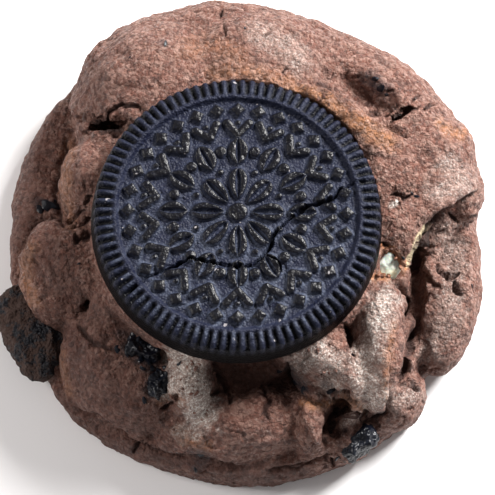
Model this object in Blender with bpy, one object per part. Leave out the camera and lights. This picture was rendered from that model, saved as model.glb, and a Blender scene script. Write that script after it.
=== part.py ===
"""A thick chocolate cookie with a cracked, embossed biscuit wafer pressed into its top.

The dough is one solid: a spread skirt, a round shoulder under the wafer and the lobes
that rose round it. White filling and dark biscuit pieces stick out of the dough, each
in a pocket that leaves a small gap. Plan points are in millimetres from the middle of
the cookie, X to the right, Y to the back, Z up from the surface it rests on.
"""

import math
import random
from typing import NamedTuple

import bmesh
import bpy
from mathutils import Matrix, Vector, noise

MM = 0.001
GAP = 0.3
FLOOR_CUT = 8.0

# The wafer: a round biscuit with a reeded rim, leaning a little to the right and back
WAFER_CENTRE = (-1.0, 1.4, 27.0)
WAFER_RADIUS = 23.1
WAFER_FOOT_FLARE = 0.9
WAFER_THICKNESS = 6.4
WAFER_LEAN_RIGHT = 2.4
WAFER_LEAN_BACK = 1.2
RIM_RIDGES = 90
RIM_WIDTH = 3.1
RIM_DROP = 0.4
RIDGE_DEPTH = 0.45
RIM_INNER_ROUND = 0.1
RIM_OUTER_ROUND = 0.5
RIM_OUTER_DROP = 0.2
WALL_START = 0.6
FOOT_CHAMFER = 0.5
FIELD_INSET = 0.35
FIELD_DEPTH = 0.9
RELIEF_HEIGHT = 0.8
MOTIF_ROOT = 0.3
MOTIF_TAPER = 0.72

# The raised figures, each an outline whose X points outwards from the wafer's middle
BEAD_RADIUS = 0.9
BEAD_CORNERS = 6
MIDDLE_BEAD_SCALE = 1.8
PETAL = ((-2.5, 0.0), (-0.6, -1.25), (1.6, -1.5), (2.8, 0.0), (1.6, 1.5), (-0.6, 1.25))
LEAF = ((-2.3, 0.0), (-0.2, -1.65), (2.4, 0.0), (-0.2, 1.65))
CHEVRON_ARM = ((-1.3, 0.15), (0.3, 0.15), (1.7, 1.75), (0.35, 2.2))
LOZENGE = ((-1.3, 0.0), (0.0, -1.3), (1.3, 0.0), (0.0, 1.3))
PETAL_RING = (8, 4.9, 0.0)
LEAF_RING = (12, 10.5, 0.0)
BEAD_RING = (12, 10.7, 0.5)
CHEVRON_RING = (18, 14.4, 0.5)
LOZENGE_RING = (32, 17.75, 0.0)

# The crack across the wafer, from its lower left to its right rim, and a short branch
CRACK_PATH = ((-17.4, -13.8), (-14.5, -11.1), (-10.9, -9.6), (-7.7, -8.0), (-4.8, -8.5),
              (0.1, -9.2), (2.5, -8.9), (4.0, -7.5), (5.3, -5.7), (5.7, -3.8), (8.2, -1.3),
              (9.8, -0.3), (11.2, 1.1), (14.1, 1.8), (15.4, 2.5), (16.7, 4.1), (19.1, 5.2),
              (20.6, 5.6))
CRACK_BRANCH = ((4.6, -7.3), (6.5, -8.2), (7.0, -9.8))
CRACK_WIDTH = 0.85
CRACK_DEPTH = 1.9
CRACK_CUT_TOP = 1.0
CRACK_END_SHARE = 0.35

# The outline of the spread skirt, counter-clockwise from the right
SKIRT_OUTLINE = ((40.3, 0.0), (40.6, 9.0), (39.2, 17.2), (35.8, 24.8), (29.5, 32.2), (21.0, 37.6),
                 (11.0, 42.0), (0.0, 45.0), (-10.7, 44.2), (-20.0, 41.0), (-27.4, 36.0),
                 (-32.3, 29.6), (-37.0, 23.5), (-40.0, 14.8), (-41.2, 4.2), (-40.0, -6.3),
                 (-36.8, -15.3), (-33.2, -22.2), (-29.0, -28.0), (-24.0, -32.2), (-15.8, -36.0),
                 (-5.0, -38.8), (6.0, -38.9), (15.2, -36.6), (21.0, -33.2), (26.0, -29.6),
                 (28.8, -24.0), (33.4, -18.2), (38.0, -10.8))
SKIRT_TOP = 7.0
SKIRT_ROUND = 4.0

# The outline of the higher mass, which leaves the skirt bare at the left and the front
MASS_OUTLINE = ((33.5, 2.0), (39.0, 5.5), (41.0, 9.2), (39.2, 17.2), (35.4, 24.8), (29.0, 32.2),
                (20.5, 37.1), (10.6, 41.3), (0.0, 44.6), (-10.3, 43.8), (-19.4, 40.5), (-26.6, 35.4),
                (-29.3, 28.4), (-29.6, 21.0), (-27.0, 12.0), (-20.0, -5.0), (0.0, -16.0),
                (20.0, -9.0), (28.0, -3.0))
MASS_TOP = 20.0
MASS_ROUND = 9.5
SHOULDER_RADIUS = 24.6
SHOULDER_SEGMENTS = 64
SHOULDER_TOP = 21.6
SHOULDER_ROUND = 3.5
OUTLINE_STEPS = 6
ROUNDING_STEPS = 4
FLOOR_SIDE = 120.0
SEAT_SEGMENTS = 72


class Lobe(NamedTuple):
    """A rounded swelling: its centre, its half sizes and its turn about Z in degrees."""

    x: float
    y: float
    z: float
    half_x: float
    half_y: float
    half_z: float
    turn: float = 0.0


LOBES = (
    # The round mass at the back, from left to right, and the lip beside the wafer
    Lobe(-14.0, 26.5, 13.0, 14.5, 13.0, 11.6, 25.0),
    Lobe(2.0, 29.0, 12.5, 16.0, 12.6, 12.3, 0.0),
    Lobe(14.5, 20.5, 16.0, 14.5, 5.6, 8.8, -36.0),
    # The flap at the right, which overhangs the skirt, and its low tip beside the wafer
    Lobe(24.5, 10.5, 14.0, 12.5, 9.0, 8.0, 45.0),
    Lobe(31.0, 15.0, 11.5, 9.0, 9.0, 9.6, 0.0),
    Lobe(24.8, 2.4, 17.8, 3.9, 5.8, 3.5, -8.0),
    # The lobes at the left, from back to front
    Lobe(-25.6, 10.5, 12.0, 5.8, 8.0, 8.6, 0.0),
    Lobe(-28.0, -3.2, 9.0, 10.5, 7.8, 8.6, -32.0),
    Lobe(-20.5, -9.5, 11.0, 6.0, 6.5, 7.6, -20.0),
    Lobe(-32.0, -8.6, 8.0, 6.5, 4.2, 6.0, -40.0),
    Lobe(-20.0, -21.0, 7.0, 12.8, 9.0, 9.4, -42.0),
    # The bright lump, the low bulge and the arch over the cave at the front
    Lobe(-9.3, -23.0, 11.5, 4.4, 7.2, 7.4, 8.0),
    Lobe(-2.0, -29.6, 5.5, 14.5, 6.8, 8.4, 0.0),
    Lobe(11.0, -29.0, 6.5, 3.4, 6.8, 7.8, 0.0),
    Lobe(16.3, -31.2, 3.5, 5.6, 5.0, 6.4, 20.0),
    # The two lobes that rise against the wafer at the lower right, and the dough between them
    Lobe(22.2, -16.8, 12.5, 4.3, 11.8, 8.8, -3.0),
    Lobe(12.6, -19.4, 13.0, 5.4, 5.8, 8.0, 20.0),
    Lobe(17.6, -22.6, 12.0, 4.6, 6.0, 7.2, 0.0),
    # The wide skirt at the right and the small lobes in the crevice beside it
    Lobe(34.4, -6.0, 5.5, 6.2, 15.6, 7.8, -7.0),
    Lobe(25.4, -25.2, 4.5, 5.2, 6.2, 7.0, -45.0),
    Lobe(27.6, -17.0, 7.0, 1.9, 5.5, 6.3, 0.0),
    Lobe(26.4, -6.5, 11.0, 2.2, 3.0, 4.6, 0.0),
)
HOLLOWS = (
    # The cavity at the upper left and its side arm
    Lobe(-22.8, 19.0, 20.5, 3.8, 1.1, 7.0, 4.0),
    Lobe(-27.8, 21.3, 20.5, 2.6, 1.0, 5.0, -22.0),
    # The space under the flap and the crevice that leads forward from it
    Lobe(35.2, -1.2, 19.0, 5.8, 9.6, 8.4, -45.0),
    Lobe(28.9, -10.5, 15.5, 2.1, 12.0, 9.5, -3.0),
    # The sunk place behind the lip and the slit beside it
    Lobe(21.3, 24.4, 22.0, 7.2, 3.0, 5.0, -36.0),
    Lobe(26.6, 20.8, 20.5, 2.6, 0.9, 6.0, 28.0),
    # The cave, the sunk middle at the front and the small hole at the left
    Lobe(15.6, -29.6, 11.5, 2.7, 3.4, 5.4, -20.0),
    Lobe(0.5, -23.4, 18.0, 6.6, 4.6, 8.0, 0.0),
    Lobe(-26.4, -10.6, 16.0, 1.2, 1.1, 4.0, 0.0),
    # The notches between the lobes at the left
    Lobe(-32.2, 4.6, 14.0, 2.6, 1.4, 7.0, 15.0),
    Lobe(-26.5, -14.8, 15.0, 7.0, 1.1, 4.2, -12.0),
)
LOBE_DETAIL = 4
HOLLOW_DETAIL = 3
GRAIN = 1.15
SOFTENING = 1
SWELL_SIZES = ((9.0, 0.55), (3.6, 0.3))
DOUGH_TRIANGLES = 5600
BASE_SNAP = 0.05


class Piece(NamedTuple):
    """A broken piece in the dough: its name, its place, half sizes, turn and draw of corners."""

    name: str
    lobe: Lobe
    seed: int


WHITE_PIECE = Piece("white_filling", Lobe(25.7, -1.9, 16.0, 6.2, 2.5, 2.5, 59.0), 3)
BISCUIT_PIECES = (
    Piece("biscuit_piece_left", Lobe(-36.2, -13.4, 4.6, 5.4, 8.6, 4.2, 25.0), 5),
    Piece("biscuit_piece_front", Lobe(18.9, -33.0, 6.8, 3.6, 2.3, 2.9, 35.0), 8),
    Piece("biscuit_piece_inner", Lobe(-16.9, -19.0, 15.0, 3.2, 1.6, 2.6, -20.0), 11),
    Piece("biscuit_piece_outer", Lobe(-14.3, -24.4, 13.8, 1.8, 2.5, 2.6, -35.0), 14),
)
PIECE_DETAIL = 2
PIECE_SQUARENESS = 0.62
PIECE_ROUGHNESS = 0.09
POCKET_GROWTH = 0.42

# Colours are base colour, roughness and metallic value
DOUGH_FINISH = ((0.19, 0.085, 0.058), 0.82, 0.0)
WAFER_FINISH = ((0.018, 0.017, 0.024), 0.5, 0.0)
BISCUIT_FINISH = ((0.022, 0.018, 0.018), 0.6, 0.0)
FILLING_FINISH = ((0.74, 0.74, 0.64), 0.45, 0.0)


def clear_scene():
    """Remove every object that the new file starts with."""
    for thing in list(bpy.data.objects):
        bpy.data.objects.remove(thing, do_unlink=True)


def make_material(name, finish):
    """Make a Principled material from a colour, a roughness and a metallic value."""
    colour, roughness, metallic = finish
    material = bpy.data.materials.new(name)
    material.use_nodes = True
    shader = material.node_tree.nodes["Principled BSDF"]
    shader.inputs["Base Color"].default_value = (*colour, 1.0)
    shader.inputs["Roughness"].default_value = roughness
    shader.inputs["Metallic"].default_value = metallic
    return material


def make_object(name, bm, material=None):
    """Turn a bmesh in millimetres into an object in metres."""
    bmesh.ops.scale(bm, vec=(MM, MM, MM), verts=bm.verts)
    bmesh.ops.recalc_face_normals(bm, faces=bm.faces)
    mesh = bpy.data.meshes.new(name)
    bm.to_mesh(mesh)
    bm.free()
    thing = bpy.data.objects.new(name, mesh)
    bpy.context.collection.objects.link(thing)
    if material:
        mesh.materials.append(material)
    return thing


def make_cutter(name, bm):
    """Make an object that only cuts or joins, and is never seen itself."""
    cutter = make_object(name, bm)
    cutter.hide_render = True
    cutter.display_type = "WIRE"
    return cutter


def add_boolean(thing, operation, tool):
    """Add an exact Boolean with one tool object, whose own parts may overlap."""
    boolean = thing.modifiers.new(f"{operation.lower()}_{tool.name}", "BOOLEAN")
    boolean.operation = operation
    boolean.solver = "EXACT"
    boolean.use_self = True
    boolean.object = tool


def settle_modifiers(thing, tools=()):
    """Keep the shape that the modifiers give, then drop them and their tools."""
    bpy.context.view_layer.update()
    evaluated = thing.evaluated_get(bpy.context.evaluated_depsgraph_get())
    settled = bpy.data.meshes.new_from_object(evaluated)
    thing.modifiers.clear()
    thing.data = settled
    for tool in tools:
        bpy.data.objects.remove(tool, do_unlink=True)


def keep_largest_body(thing):
    """Drop the loose scraps that a cut can leave behind."""
    bm = bmesh.new()
    bm.from_mesh(thing.data)
    bm.verts.ensure_lookup_table()
    unseen = set(bm.verts)
    bodies = []
    while unseen:
        start = unseen.pop()
        body = [start]
        for vert in body:
            for edge in vert.link_edges:
                other = edge.other_vert(vert)
                if other in unseen:
                    unseen.remove(other)
                    body.append(other)
        bodies.append(body)
    bodies.sort(key=len, reverse=True)
    scraps = [vert for body in bodies[1:] for vert in body]
    bmesh.ops.delete(bm, geom=scraps, context="VERTS")
    bmesh.ops.triangulate(bm, faces=bm.faces)
    bm.to_mesh(thing.data)
    bm.free()


def flatten_base(thing):
    """Put the corners of the base exactly on one plane, which thinning leaves slightly uneven."""
    for vert in thing.data.vertices:
        if vert.co.z < BASE_SNAP * MM:
            vert.co.z = 0.0


def smooth_loop(points, steps):
    """Put a smooth closed curve through plan points."""
    curve = []
    count = len(points)
    for index in range(count):
        before, start, end, after = (Vector(points[(index + shift) % count]) for shift in (-1, 0, 1, 2))
        for step in range(steps):
            t = step / steps
            curve.append(0.5 * (2 * start + (end - before) * t
                                + (2 * before - 5 * start + 4 * end - after) * t ** 2
                                + (3 * start - before - 3 * end + after) * t ** 3))
    return curve


def add_pillow(bm, outline, top, rounding):
    """Add a body with an upright wall and rounded shoulders over an outline, floor cut included."""
    bottom = -FLOOR_CUT
    profile = [(0.0, bottom), (0.0, top - rounding)]
    for step in range(1, ROUNDING_STEPS + 1):
        angle = math.radians(90.0 * step / ROUNDING_STEPS)
        profile.append((rounding * (1.0 - math.cos(angle)), top - rounding * (1.0 - math.sin(angle))))
    rings = []
    for inset, height in profile:
        ring = []
        for point in outline:
            inner = point * (1.0 - inset / point.length)
            ring.append(bm.verts.new((inner.x, inner.y, height)))
        rings.append(ring)
    for lower, upper in zip(rings, rings[1:]):
        for index, vert in enumerate(lower):
            after = (index + 1) % len(lower)
            bm.faces.new((vert, lower[after], upper[after], upper[index]))
    bm.faces.new(reversed(rings[0]))
    bm.faces.new(rings[-1])


def lobe_matrix(lobe, grow=0.0):
    """Give the matrix that turns a unit ball into a lobe, grown evenly where asked."""
    place = Matrix.Translation((lobe.x, lobe.y, lobe.z))
    turn = Matrix.Rotation(math.radians(lobe.turn), 4, "Z")
    halves = (lobe.half_x + grow, lobe.half_y + grow, lobe.half_z + grow)
    return place @ turn @ Matrix.Diagonal((*halves, 1.0))


def wafer_matrix():
    """Give the place and lean of the wafer, whose own top is at its Z zero."""
    lean_right = Matrix.Rotation(math.radians(WAFER_LEAN_RIGHT), 4, "Y")
    lean_back = Matrix.Rotation(math.radians(-WAFER_LEAN_BACK), 4, "X")
    return Matrix.Translation(WAFER_CENTRE) @ lean_back @ lean_right


def swell(thing):
    """Move the surface in and out a little, so that the lobes are uneven like baked dough."""
    mesh = thing.data
    moves = []
    for vert in mesh.vertices:
        place = vert.co / MM
        height = sum(depth * noise.noise(place / size) for size, depth in SWELL_SIZES)
        moves.append(vert.normal * height * MM)
    for vert, move in zip(mesh.vertices, moves):
        vert.co += move


def build_hollows():
    """Make the cutter of the holes and clefts in the dough."""
    bm = bmesh.new()
    for hollow in HOLLOWS:
        bmesh.ops.create_icosphere(bm, subdivisions=HOLLOW_DETAIL, radius=1.0, matrix=lobe_matrix(hollow))
    return make_cutter("hollows", bm)


def build_floor():
    """Make the cutter that gives the dough its flat base."""
    bm = bmesh.new()
    bmesh.ops.create_cube(bm, size=1.0, matrix=Matrix.Translation((0, 0, -2 * FLOOR_CUT))
                          @ Matrix.Diagonal((FLOOR_SIDE, FLOOR_SIDE, 4 * FLOOR_CUT, 1.0)))
    return make_cutter("floor", bm)


def build_seat():
    """Make the cutter of the seat that the wafer is pressed into."""
    bm = bmesh.new()
    depth = WAFER_THICKNESS + GAP
    height = 2.0 * depth
    radius = WAFER_RADIUS + WAFER_FOOT_FLARE + GAP
    place = wafer_matrix() @ Matrix.Translation((0, 0, height / 2 - depth))
    bmesh.ops.create_cone(bm, cap_ends=True, segments=SEAT_SEGMENTS, radius1=radius, radius2=radius,
                          depth=height, matrix=place)
    return make_cutter("seat", bm)


def add_piece(bm, piece, grow=0.0):
    """Add a broken piece with blunt corners, grown for its pocket where asked."""
    draw = random.Random(piece.seed)
    made = bmesh.ops.create_icosphere(bm, subdivisions=PIECE_DETAIL, radius=1.0)
    matrix = lobe_matrix(piece.lobe, grow)
    for vert in made["verts"]:
        direction = vert.co.copy()
        longest = max(abs(value) for value in direction)
        blunt = direction / longest
        shape = direction.lerp(blunt, PIECE_SQUARENESS)
        shape *= 1.0 + draw.uniform(-PIECE_ROUGHNESS, PIECE_ROUGHNESS)
        vert.co = matrix @ shape


def build_pockets(pieces):
    """Make the cutter of the pockets that the broken pieces sit in."""
    bm = bmesh.new()
    for piece in pieces:
        add_piece(bm, piece, grow=POCKET_GROWTH)
    return make_cutter("pockets", bm)


def build_dough(material, pieces):
    """Join skirt, shoulder and lobes into one body, then cut its holes, seat and pockets."""
    bm = bmesh.new()
    add_pillow(bm, smooth_loop(SKIRT_OUTLINE, OUTLINE_STEPS), SKIRT_TOP, SKIRT_ROUND)
    shoulder = []
    for index in range(SHOULDER_SEGMENTS):
        angle = math.tau * index / SHOULDER_SEGMENTS
        outwards = Vector((math.cos(angle), math.sin(angle)))
        shoulder.append(Vector(WAFER_CENTRE[:2]) + SHOULDER_RADIUS * outwards)
    add_pillow(bm, shoulder, SHOULDER_TOP, SHOULDER_ROUND)
    add_pillow(bm, smooth_loop(MASS_OUTLINE, OUTLINE_STEPS), MASS_TOP, MASS_ROUND)
    for lobe in LOBES:
        bmesh.ops.create_icosphere(bm, subdivisions=LOBE_DETAIL, radius=1.0, matrix=lobe_matrix(lobe))
    dough = make_object("dough", bm, material)

    remesh = dough.modifiers.new("join_lobes", "REMESH")
    remesh.mode = "VOXEL"
    remesh.voxel_size = GRAIN * MM
    hollows = build_hollows()
    add_boolean(dough, "DIFFERENCE", hollows)
    even = dough.modifiers.new("even_out", "REMESH")
    even.mode = "VOXEL"
    even.voxel_size = GRAIN * MM
    soften = dough.modifiers.new("soften", "SMOOTH")
    soften.factor = 0.5
    soften.iterations = SOFTENING
    settle_modifiers(dough, [hollows])
    swell(dough)

    floor = build_floor()
    add_boolean(dough, "DIFFERENCE", floor)
    settle_modifiers(dough, [floor])
    thin = dough.modifiers.new("fewer_faces", "DECIMATE")
    thin.ratio = DOUGH_TRIANGLES / sum(len(face.vertices) - 2 for face in dough.data.polygons)
    seat = build_seat()
    pockets = build_pockets(pieces)
    add_boolean(dough, "DIFFERENCE", seat)
    add_boolean(dough, "DIFFERENCE", pockets)
    settle_modifiers(dough, [seat, pockets])
    keep_largest_body(dough)
    flatten_base(dough)
    return dough


def add_wafer_body(bm):
    """Add the turned wafer with its reeded rim, its top at Z zero."""
    steps = 2 * RIM_RIDGES
    inner = WAFER_RADIUS - RIM_WIDTH
    foot = WAFER_RADIUS + WAFER_FOOT_FLARE
    wall_top = -RIM_DROP - RIDGE_DEPTH - WALL_START
    rings = ((inner - FIELD_INSET, -FIELD_DEPTH, 0.0),
             (inner, -RIM_INNER_ROUND, RIDGE_DEPTH / 2),
             (WAFER_RADIUS - RIM_OUTER_ROUND, -RIM_DROP / 2, RIDGE_DEPTH),
             (WAFER_RADIUS, -RIM_DROP - RIM_OUTER_DROP, RIDGE_DEPTH),
             (WAFER_RADIUS + RIM_OUTER_DROP, wall_top, 0.0),
             (foot, -WAFER_THICKNESS + FOOT_CHAMFER, 0.0),
             (foot - FOOT_CHAMFER, -WAFER_THICKNESS, 0.0))
    loops = []
    for radius, height, ridge in rings:
        loop = []
        for step in range(steps):
            angle = math.tau * step / steps
            drop = ridge * (step % 2)
            loop.append(bm.verts.new((radius * math.cos(angle), radius * math.sin(angle), height - drop)))
        loops.append(loop)
    for upper, lower in zip(loops, loops[1:]):
        for step, vert in enumerate(upper):
            after = (step + 1) % steps
            bm.faces.new((vert, lower[step], lower[after], upper[after]))
    bm.faces.new(loops[0])
    bm.faces.new(reversed(loops[-1]))


def add_motif(bm, outline, place):
    """Add one raised figure of the relief: a low block over an outline, narrower at its top."""
    base = -FIELD_DEPTH - MOTIF_ROOT
    top = -FIELD_DEPTH + RELIEF_HEIGHT
    centre = sum((Vector(point) for point in outline), Vector((0.0, 0.0))) / len(outline)
    lower = []
    upper = []
    for point in outline:
        narrowed = centre + (Vector(point) - centre) * MOTIF_TAPER
        lower.append(bm.verts.new(place @ Vector((point[0], point[1], base))))
        upper.append(bm.verts.new(place @ Vector((narrowed.x, narrowed.y, top))))
    for index, vert in enumerate(lower):
        after = (index + 1) % len(lower)
        bm.faces.new((vert, lower[after], upper[after], upper[index]))
    bm.faces.new(upper)
    bm.faces.new(reversed(lower))


def ring_places(count, radius, offset):
    """Give the matrices of figures set round a ring, each with its X pointing outwards."""
    for index in range(count):
        turn = Matrix.Rotation(math.tau * (index + offset) / count, 4, "Z")
        yield turn @ Matrix.Translation((radius, 0.0, 0.0))


def build_relief():
    """Make the raised pattern: a daisy, a ring of leaves, chevrons and lozenges."""
    bm = bmesh.new()
    corners = [math.tau * index / BEAD_CORNERS for index in range(BEAD_CORNERS)]
    bead = [(BEAD_RADIUS * math.cos(angle), BEAD_RADIUS * math.sin(angle)) for angle in corners]
    other_arm = [(x, -y) for x, y in reversed(CHEVRON_ARM)]
    add_motif(bm, bead, Matrix.Diagonal((MIDDLE_BEAD_SCALE, MIDDLE_BEAD_SCALE, 1.0, 1.0)))
    rings = ((PETAL, PETAL_RING), (LEAF, LEAF_RING), (bead, BEAD_RING), (CHEVRON_ARM, CHEVRON_RING),
             (other_arm, CHEVRON_RING), (LOZENGE, LOZENGE_RING))
    for outline, ring in rings:
        for place in ring_places(*ring):
            add_motif(bm, outline, place)
    return make_cutter("relief", bm)


def build_crack(name, path):
    """Make the cutter of one crack line: a wedge along a path, shut at both of its ends."""
    bm = bmesh.new()
    points = [Vector(point) for point in path]
    sections = []
    for index, point in enumerate(points):
        before = points[max(index - 1, 0)]
        after = points[min(index + 1, len(points) - 1)]
        along = (after - before).normalized()
        across = Vector((-along.y, along.x))
        middle = 1.0 - abs(2.0 * index / (len(points) - 1) - 1.0)
        half = CRACK_WIDTH * (CRACK_END_SHARE + (1.0 - CRACK_END_SHARE) * middle) / 2
        left, right = point + across * half, point - across * half
        sections.append((bm.verts.new((left.x, left.y, CRACK_CUT_TOP)),
                         bm.verts.new((right.x, right.y, CRACK_CUT_TOP)),
                         bm.verts.new((point.x, point.y, -CRACK_DEPTH * (0.5 + 0.5 * middle)))))
    for one, two in zip(sections, sections[1:]):
        for index in range(3):
            after = (index + 1) % 3
            bm.faces.new((one[index], one[after], two[after], two[index]))
    bm.faces.new(reversed(sections[0]))
    bm.faces.new(sections[-1])
    return make_cutter(name, bm)


def build_wafer(material):
    """Build the wafer with its relief and its crack, leaning in its seat."""
    bm = bmesh.new()
    add_wafer_body(bm)
    wafer = make_object("wafer", bm, material)
    relief = build_relief()
    crack = build_crack("crack", CRACK_PATH)
    branch = build_crack("crack_branch", CRACK_BRANCH)
    add_boolean(wafer, "UNION", relief)
    add_boolean(wafer, "DIFFERENCE", crack)
    add_boolean(wafer, "DIFFERENCE", branch)
    settle_modifiers(wafer, [relief, crack, branch])
    keep_largest_body(wafer)
    place = wafer_matrix()
    place.translation *= MM
    wafer.data.transform(place)
    return wafer


def build_piece(piece, material):
    """Build one broken piece."""
    bm = bmesh.new()
    add_piece(bm, piece)
    return make_object(piece.name, bm, material)


def centre_on_base(things):
    """Move the whole cookie so that the middle of its base box is the origin."""
    corners = [vert.co for thing in things for vert in thing.data.vertices]
    low = Vector([min(corner[axis] for corner in corners) for axis in range(3)])
    high = Vector([max(corner[axis] for corner in corners) for axis in range(3)])
    shift = Vector((-(low.x + high.x) / 2, -(low.y + high.y) / 2, -low.z))
    for thing in things:
        thing.data.transform(Matrix.Translation(shift))


def main():
    """Build every piece of the cookie."""
    clear_scene()
    pieces = (WHITE_PIECE, *BISCUIT_PIECES)
    biscuit = make_material("dark_biscuit", BISCUIT_FINISH)
    things = [
        build_dough(make_material("chocolate_dough", DOUGH_FINISH), pieces),
        build_wafer(make_material("wafer_biscuit", WAFER_FINISH)),
        build_piece(WHITE_PIECE, make_material("white_filling", FILLING_FINISH)),
    ]
    for piece in BISCUIT_PIECES:
        things.append(build_piece(piece, biscuit))
    centre_on_base(things)


main()
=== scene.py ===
"""Looks of a thick chocolate cookie with a cracked, embossed wafer pressed into its top.

The dough is joined from rounded lobes, then sculpted with strokes. A stroke is placed by
pixels of the 495 x 495 photograph, as seen from the photograph's angle, and its width and
height are real sizes. Lengths are millimetres until a mesh is made, which is in metres.
"""

import logging
import math
import random
from dataclasses import dataclass, field
from enum import Enum
from typing import Callable, Iterable, NamedTuple, Sequence

import bpy
import numpy as np
from mathutils import Matrix, Vector, noise
from mathutils.bvhtree import BVHTree

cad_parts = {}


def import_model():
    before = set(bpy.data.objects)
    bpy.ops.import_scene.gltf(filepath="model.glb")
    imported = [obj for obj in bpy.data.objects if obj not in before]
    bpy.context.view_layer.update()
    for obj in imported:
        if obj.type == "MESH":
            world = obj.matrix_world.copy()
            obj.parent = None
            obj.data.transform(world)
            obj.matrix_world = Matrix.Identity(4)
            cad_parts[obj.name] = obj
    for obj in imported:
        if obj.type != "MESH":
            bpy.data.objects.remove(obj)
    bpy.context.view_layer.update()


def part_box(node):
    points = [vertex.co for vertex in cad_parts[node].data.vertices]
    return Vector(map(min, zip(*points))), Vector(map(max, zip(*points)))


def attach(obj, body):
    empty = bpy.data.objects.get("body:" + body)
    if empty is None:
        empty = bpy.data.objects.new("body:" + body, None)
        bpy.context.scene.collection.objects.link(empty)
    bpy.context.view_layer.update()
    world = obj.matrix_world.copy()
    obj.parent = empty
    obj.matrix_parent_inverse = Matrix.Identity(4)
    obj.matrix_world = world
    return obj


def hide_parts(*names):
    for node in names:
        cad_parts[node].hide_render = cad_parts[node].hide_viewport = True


MM = 0.001
BODY = "root"
PHOTO_SIDE = 495

log = logging.getLogger("cookie")

Plan = tuple[float, float]
Colour = tuple[float, float, float]


class Channel(Enum):
    """What a stroke changes: the surface itself, or one of the dough's painted masks."""

    SHAPE = "shape"
    TOAST_AND_HIGHLIGHT = "toast_and_highlight"
    PALE_AND_LIT = "pale_and_lit"
    DARK = "dark_and_shade"
    SMUDGE = "smudge"
    CREAM = "cream"


class Stroke(NamedTuple):
    """A sculpting or painting stroke along pixels of the photograph.

    Its reach is the half width in millimetres, its lift the height in millimetres or the
    amount of paint, its edge how hard it ends, and its wander how ragged its course is.
    """

    points: Sequence[Plan]
    reach: float
    lift: float
    edge: float = 1.0
    wander: float = 0.0
    channel: Channel = Channel.SHAPE


class Ledge(NamedTuple):
    """A fold's edge along pixels of the photograph.

    The dough on the right of its course stands up by the lift, over the reach, and the dough
    on its left drops by the sink, both in millimetres.
    """

    points: Sequence[Plan]
    reach: float
    lift: float
    sink: float
    wander: float = 0.15


class Lobe(NamedTuple):
    """A rounded swelling or hollow: its centre, half sizes and turn about Z in degrees."""

    x: float
    y: float
    z: float
    half_x: float
    half_y: float
    half_z: float
    turn: float = 0.0


@dataclass(frozen=True)
class PhotoView:
    """The camera of the photograph: where it looks in the sketch's frame, how far off and how steeply."""

    shift: Vector
    target: tuple[float, float, float] = (0.51, -0.51, 12.0)
    distance: float = 302.0
    elevation: float = 74.0
    lens: float = 129.5
    sensor: float = 36.0

    @property
    def place(self) -> Vector:
        """Where the camera stands, in millimetres."""
        angle = math.radians(self.elevation)
        backwards = Vector((0.0, -math.cos(angle), math.sin(angle)))
        return Vector(self.target) + self.shift + self.distance * backwards

    def axes(self) -> tuple[np.ndarray, np.ndarray, np.ndarray]:
        """Give the camera's right, up and forward directions."""
        angle = math.radians(self.elevation)
        right = np.array((1.0, 0.0, 0.0))
        up = np.array((0.0, math.sin(angle), math.cos(angle)))
        forward = np.array((0.0, math.cos(angle), -math.sin(angle)))
        return right, up, forward

    def pixels(self, points: np.ndarray) -> tuple[np.ndarray, np.ndarray]:
        """Find where points show in the photograph.

        Args:
            points: Places in millimetres, one row each.

        Returns:
            The pixel of each point, and how many pixels a millimetre takes there.
        """
        right, up, forward = self.axes()
        away = points - np.array(self.place)
        scale = self.lens / self.sensor * PHOTO_SIDE / (away @ forward)
        middle = PHOTO_SIDE / 2
        return np.stack((middle + scale * (away @ right), middle - scale * (away @ up)), axis=1), scale

    def ray(self, pixel: Plan) -> tuple[Vector, Vector]:
        """Give the start and the direction of the sight line through a pixel, in millimetres."""
        right, up, forward = self.axes()
        step = self.sensor / self.lens / PHOTO_SIDE
        middle = PHOTO_SIDE / 2
        direction = forward + right * (pixel[0] - middle) * step - up * (pixel[1] - middle) * step
        return self.place, Vector(direction).normalized()


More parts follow.
